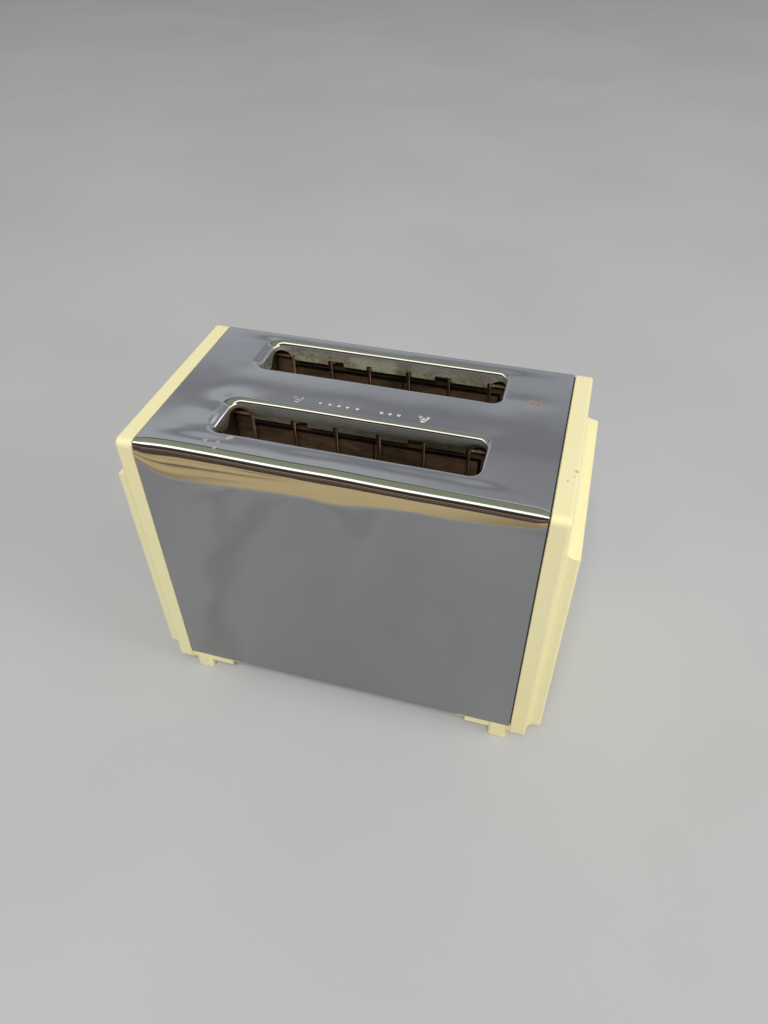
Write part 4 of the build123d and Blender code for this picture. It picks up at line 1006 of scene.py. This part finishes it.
@dataclass
class TopMarks:
    """Plain pips and arrowheads pressed up in the top between the slots."""

    pip_x: tuple[float, ...] = (-0.0122, -0.0068, -0.0018, 0.0029, 0.0084, 0.0217, 0.0263, 0.0311)
    arrow_x: tuple[float, ...] = (-0.0251, 0.0444)
    row_y: float = -0.0030
    foot: float = 0.00125
    crown: float = 0.00055
    height: float = 0.00048
    round_off: float = 0.00022
    arrow_half: float = 0.0020
    arrow_rise: float = 0.0017
    arrow_reach: float = 0.0034

    def pip(self, x: float, y: float, z: float) -> Piece:
        """Makes one round pip with sloping sides, standing in the sheet."""
        Bench.clear()
        bpy.ops.mesh.primitive_cone_add(vertices=24, radius1=self.foot, radius2=self.crown,
                                        depth=self.height * 1.5)
        pip = bpy.context.object
        Bench.modify(pip, "BEVEL", width=self.round_off, segments=3, limit_method="ANGLE",
                     angle_limit=math.radians(20.0))
        Bench.edit(pip, lambda: bpy.ops.transform.translate(value=(x, y, z + self.height / 4)))
        return pip

    def ridge(self, start: Pair, end: Pair,
              z: float) -> Piece:
        """Makes one ridge with sloping sides between two places at a height."""
        Bench.clear()
        bpy.ops.mesh.primitive_cube_add(size=1.0)
        ridge = bpy.context.object
        run = Vector((end[0] - start[0], end[1] - start[1]))
        size = (run.length, self.foot * 1.5, self.height * 1.5)
        Bench.edit(ridge, lambda: bpy.ops.transform.resize(value=size))
        Bench.edit(ridge, lambda: bpy.ops.transform.resize(value=(0.75, 0.25, 1.0)),
                   lambda face: face.normal.z > 0.9)
        Bench.modify(ridge, "BEVEL", width=self.round_off * 0.6, segments=2)
        turn = -math.atan2(run.y, run.x)
        middle = ((start[0] + end[0]) / 2, (start[1] + end[1]) / 2, z + self.height / 4)
        Bench.edit(ridge, lambda: bpy.ops.transform.rotate(value=turn, orient_axis="Z",
                                                           center_override=(0.0, 0.0, 0.0)))
        Bench.edit(ridge, lambda: bpy.ops.transform.translate(value=middle))
        return ridge

    def arrow(self, x: float, z: float) -> list[Piece]:
        """Makes one arrowhead that points to the front: two ridges with pips at their tops."""
        high, low = self.row_y + self.arrow_rise, self.row_y - self.arrow_reach + self.arrow_rise
        pieces = [self.pip(x, self.row_y + self.arrow_rise * 0.2, z)]
        for side in (-1, 1):
            tip = (x + side * self.arrow_half, high)
            pieces.append(self.pip(*tip, z))
            pieces.append(self.ridge(tip, (x + side * 0.0002, low - self.foot), z))
        return pieces

    def build(self, shell: BrightShell, finish: Material) -> Piece:
        """Makes all the marks as one piece on the shell.

        Args:
            shell: The shell that they stand on.
            finish: The marks' material.

        Returns:
            The marks.
        """
        pieces = []
        for x in self.pip_x:
            pieces.append(self.pip(x, self.row_y, shell.top(x - shell.mid_x, self.row_y)))
        for x in self.arrow_x:
            pieces.extend(self.arrow(x, shell.top(x - shell.mid_x, self.row_y)))
        marks = Bench.join(pieces, "top_marks")
        Bench.smooth(marks, 50.0)
        return Bench.finish(marks, "chassis", "bright_shell", finish)


@dataclass(frozen=True)
class Lamp:
    """A square soft light: its place, side, power and tone."""

    name: str
    place: Point
    size: float
    watts: float
    tone: Colour


@dataclass
class Studio:
    """The camera at the photograph's place, the floor, the soft lights and the room.

    The bands are what bright surfaces mirror of the room: each has its angle in degrees, from the
    rear horizon at 0 over the zenith at 90 to the front horizon at 180.
    """

    azimuth: float = 16.29
    elevation: float = 42.904
    roll: float = -0.671
    lens: float = 26.32
    sensor: float = 36.0
    place: Point = (0.11310, -0.31331, 0.41478)
    floor_half: float = 4.0
    floor_tone: Colour = (0.47, 0.475, 0.49)
    # Colours that the floor shows only in reflections: a painted reflection of the room.
    mirrored_floor: Colour = (0.315, 0.32, 0.33)
    mirrored_fold: Colour = (0.17, 0.173, 0.18)
    mirrored_hem: Colour = (0.44, 0.43, 0.40)
    wood: Colour = (0.60, 0.475, 0.25)
    far_wood: Colour = (0.25, 0.18, 0.10)
    maroon: Colour = (0.11, 0.04, 0.035)
    wood_start: float = 0.275
    wood_end: float = 0.62
    dark_wall: Colour = (0.060, 0.038, 0.026)
    aside_tone: Colour = (0.36, 0.37, 0.39)
    window_tone: Colour = (2.4, 2.45, 2.25)
    dome_low: Colour = (0.11, 0.112, 0.115)
    dome_high: Colour = (0.46, 0.46, 0.455)
    aim: Point = (0.0, 0.0, 0.1)
    lamps: tuple[Lamp, ...] = (
        Lamp("front", (0.45, -2.6, 3.7), 1.8, 176.0, (1.0, 0.975, 0.93)),
        Lamp("side", (3.8, -0.2, 1.5), 1.6, 58.0, (0.95, 1.0, 0.94)))
    bands: Stops = (
        (0.0, (0.34, 0.34, 0.35)), (14.0, (0.42, 0.43, 0.44)), (24.0, (0.50, 0.52, 0.55)),
        (32.0, (0.50, 0.52, 0.55)), (34.5, (0.42, 0.43, 0.46)), (37.0, (0.29, 0.295, 0.32)),
        (38.5, (0.35, 0.355, 0.38)), (40.5, (0.52, 0.535, 0.555)), (43.5, (0.55, 0.565, 0.58)),
        (47.0, (0.22, 0.225, 0.235)), (48.5, (0.15, 0.155, 0.165)), (54.0, (0.08, 0.085, 0.085)),
        (59.0, (0.37, 0.40, 0.27)), (100.0, (0.37, 0.40, 0.27)), (112.0, (0.44, 0.47, 0.34)),
        (119.0, (2.4, 2.45, 2.25)), (131.0, (2.4, 2.45, 2.25)), (137.0, (0.085, 0.062, 0.040)),
        (156.0, (0.075, 0.045, 0.026)), (163.0, (0.03, 0.02, 0.016)), (167.0, (0.50, 0.40, 0.28)),
        (170.0, (0.42, 0.32, 0.2)), (173.0, (0.15, 0.055, 0.045)), (180.0, (0.12, 0.04, 0.035)))
    right_bands: Stops = (
        (36.0, (0.31, 0.315, 0.33)), (43.0, (0.38, 0.385, 0.40)), (45.0, (0.56, 0.565, 0.57)),
        (47.0, (0.76, 0.765, 0.76)), (50.0, (0.66, 0.66, 0.65)), (53.0, (0.08, 0.085, 0.085)))

    def camera(self) -> None:
        """Places the camera."""
        data = bpy.data.cameras.new("camera")
        data.lens, data.sensor_width = self.lens, self.sensor
        data.clip_start = 0.01
        camera = bpy.data.objects.new("camera", data)
        bpy.context.scene.collection.objects.link(camera)
        az, el, roll = (math.radians(v) for v in (self.azimuth, self.elevation, self.roll))
        ahead = Vector((-math.sin(az) * math.cos(el), math.cos(az) * math.cos(el), -math.sin(el)))
        level = ahead.cross(Vector((0.0, 0.0, 1.0))).normalized()
        right = math.cos(roll) * level + math.sin(roll) * level.cross(ahead)
        up = right.cross(ahead)
        turn = Matrix((right, up, -ahead)).transposed().to_4x4()
        camera.matrix_world = Matrix.Translation(self.place) @ turn
        bpy.context.scene.camera = camera

    def floor(self) -> None:
        """Lays the plain floor; for glossy rays its colour paints the reflection of a room in the
        bright parts: cloth folds, a hem, wood and a dark wall.
        """
        Bench.clear()
        bpy.ops.mesh.primitive_plane_add(size=2 * self.floor_half, location=(0.0, 0.0, 0.0))
        floor = bpy.context.object
        floor.name = "floor"
        s = Surface("floor")
        cloud = s.noise(3.0, 3.0, 0.5).ease(0.3, 0.7)
        tone = s.mix(cloud, self.floor_tone, tuple(v * 0.93 for v in self.floor_tone))
        folds = s.noise(9.0, 3.0, 0.5, (1.0, 0.4, 1.0)).ease(0.35, 0.65)
        creases = abs(s.noise(5.0, 3.0, 0.5, (1.0, 0.6, 1.0)) - 0.5).fade(0.0, 0.035)
        cloth = (folds * 0.25 + creases * 0.3).least(1.0)
        # Painted reflection: these colours show only to glossy rays, so the bright parts mirror a
        # cloth, a hem, wood and a dark wall that the scene does not hold.
        seen = s.mix(cloth, self.mirrored_floor, self.mirrored_fold)
        edge = 0.0 - s.y + (s.noise(14.0, 2.0) - 0.5) * 0.03
        hem = edge.ease(self.wood_start - 0.035, self.wood_start) * 0.6
        seen = s.mix(hem, seen, self.mirrored_hem)
        planks = s.noise(9.0, 1.0, 0.5, (0.5, 1.3, 1.0)).ease(0.47, 0.58)
        wood = s.mix(s.x.ease(-0.02, 0.12) * 0.75, self.wood, self.far_wood)
        wood = s.mix(planks * s.x.fade(-0.30, -0.14) * 0.85, wood, self.maroon)
        seen = s.mix(edge.ease(self.wood_start, self.wood_start + 0.012), seen, wood)
        seen = s.mix(edge.ease(self.wood_end, self.wood_end + 0.05), seen, self.dark_wall)
        mirrored = s.add("ShaderNodeLightPath", output="Is Glossy Ray")
        floor.data.materials.append(s.wear(base_color=s.mix(mirrored, tone, seen), roughness=0.85))

    def lamp(self, light: Lamp) -> None:
        """Hangs one soft light, unseen in reflections."""
        data = bpy.data.lights.new(light.name, "AREA")
        data.energy, data.size, data.color = light.watts, light.size, light.tone
        lamp = bpy.data.objects.new(light.name, data)
        bpy.context.scene.collection.objects.link(lamp)
        away = (Vector(light.place) - Vector(self.aim)).to_track_quat("Z", "Y")
        lamp.matrix_world = Matrix.Translation(light.place) @ away.to_matrix().to_4x4()
        lamp.visible_glossy = False

    def room(self) -> None:
        """Surrounds the part: even light for matt surfaces, bands of light for bright ones."""
        world = bpy.data.worlds.new("room")
        bpy.context.scene.world = world
        world.use_nodes = True
        graph = Graph(world.node_tree, "Generated")
        across, level, height = graph.x, graph.y, graph.z
        ripple = graph.noise(3.2, 3.0, 0.55) - 0.5
        turn = height.angle(level) * (1.0 / math.pi) + ripple * 0.012
        bands, right = (graph.ramp(turn, *((angle / 180.0, tone) for angle, tone in stops))
                        for stops in (self.bands, self.right_bands))
        bands = graph.mix(across.ease(-0.36, -0.06) * 0.12, bands, (0.0, 0.0, 0.0))
        share = across.ease(-0.24, -0.04) * turn.ease(0.20, 0.22) * turn.fade(0.285, 0.30)
        bands = graph.mix(share, bands, right)
        aside = across.fade(-0.68, -0.58) * turn.ease(0.26, 0.32) * turn.fade(0.62, 0.66)
        bands = graph.mix(aside, bands, self.aside_tone)
        window = across.ease(0.60, 0.66) * height.ease(0.02, 0.06) * height.fade(0.32, 0.42)
        bands = graph.mix(window, bands, self.window_tone)
        glossy = graph.add("ShaderNodeLightPath", output="Is Glossy Ray")
        camera = graph.add("ShaderNodeLightPath", output="Is Camera Ray")
        dome = graph.mix(height.most(0.0) ** 1.5, self.dome_low, self.dome_high)
        even = graph.mix(camera, dome, self.floor_tone)
        graph.feed(world.node_tree.nodes["Background"].inputs[0], graph.mix(glossy, even, bands))

    def build(self) -> None:
        """Sets up the whole studio."""
        self.camera()
        self.floor()
        self.room()
        for light in self.lamps:
            self.lamp(light)
        bpy.context.scene.view_settings.view_transform = "Standard"


def dress_nodes(done: set[str]) -> None:
    """Gives every CAD node that still shows its finish.

    Args:
        done: The names of the nodes that have been replaced.
    """
    made = {}
    cream = CreamMoulding().material()
    bright = bpy.data.materials["bright_plate"]
    for part in frame["record"]["subparts"]:
        node, slot = part["node"], part["material_slot"]
        if node in done:
            continue
        if slot not in made:
            named = {"cream_moulding": cream, "bright_shell": bright}
            made[slot] = named[slot] if slot in named else Finish[slot].value.material()
        piece = frame["nodes"][node]
        piece.data.materials.clear()
        piece.data.materials.append(made[slot])


def main() -> None:
    """Builds the studio and the toaster's looks."""
    logging.basicConfig(level=logging.INFO, format="%(message)s")
    Bench.clear()
    Studio().build()
    bright = BrightPlate().material()
    shell = BrightShell()
    shell.build(bright)
    TopMarks().build(shell, Finish.pressed_marks.value.material())
    dress_nodes({"chrome_shell"})


if __name__ == "__main__":
    main()
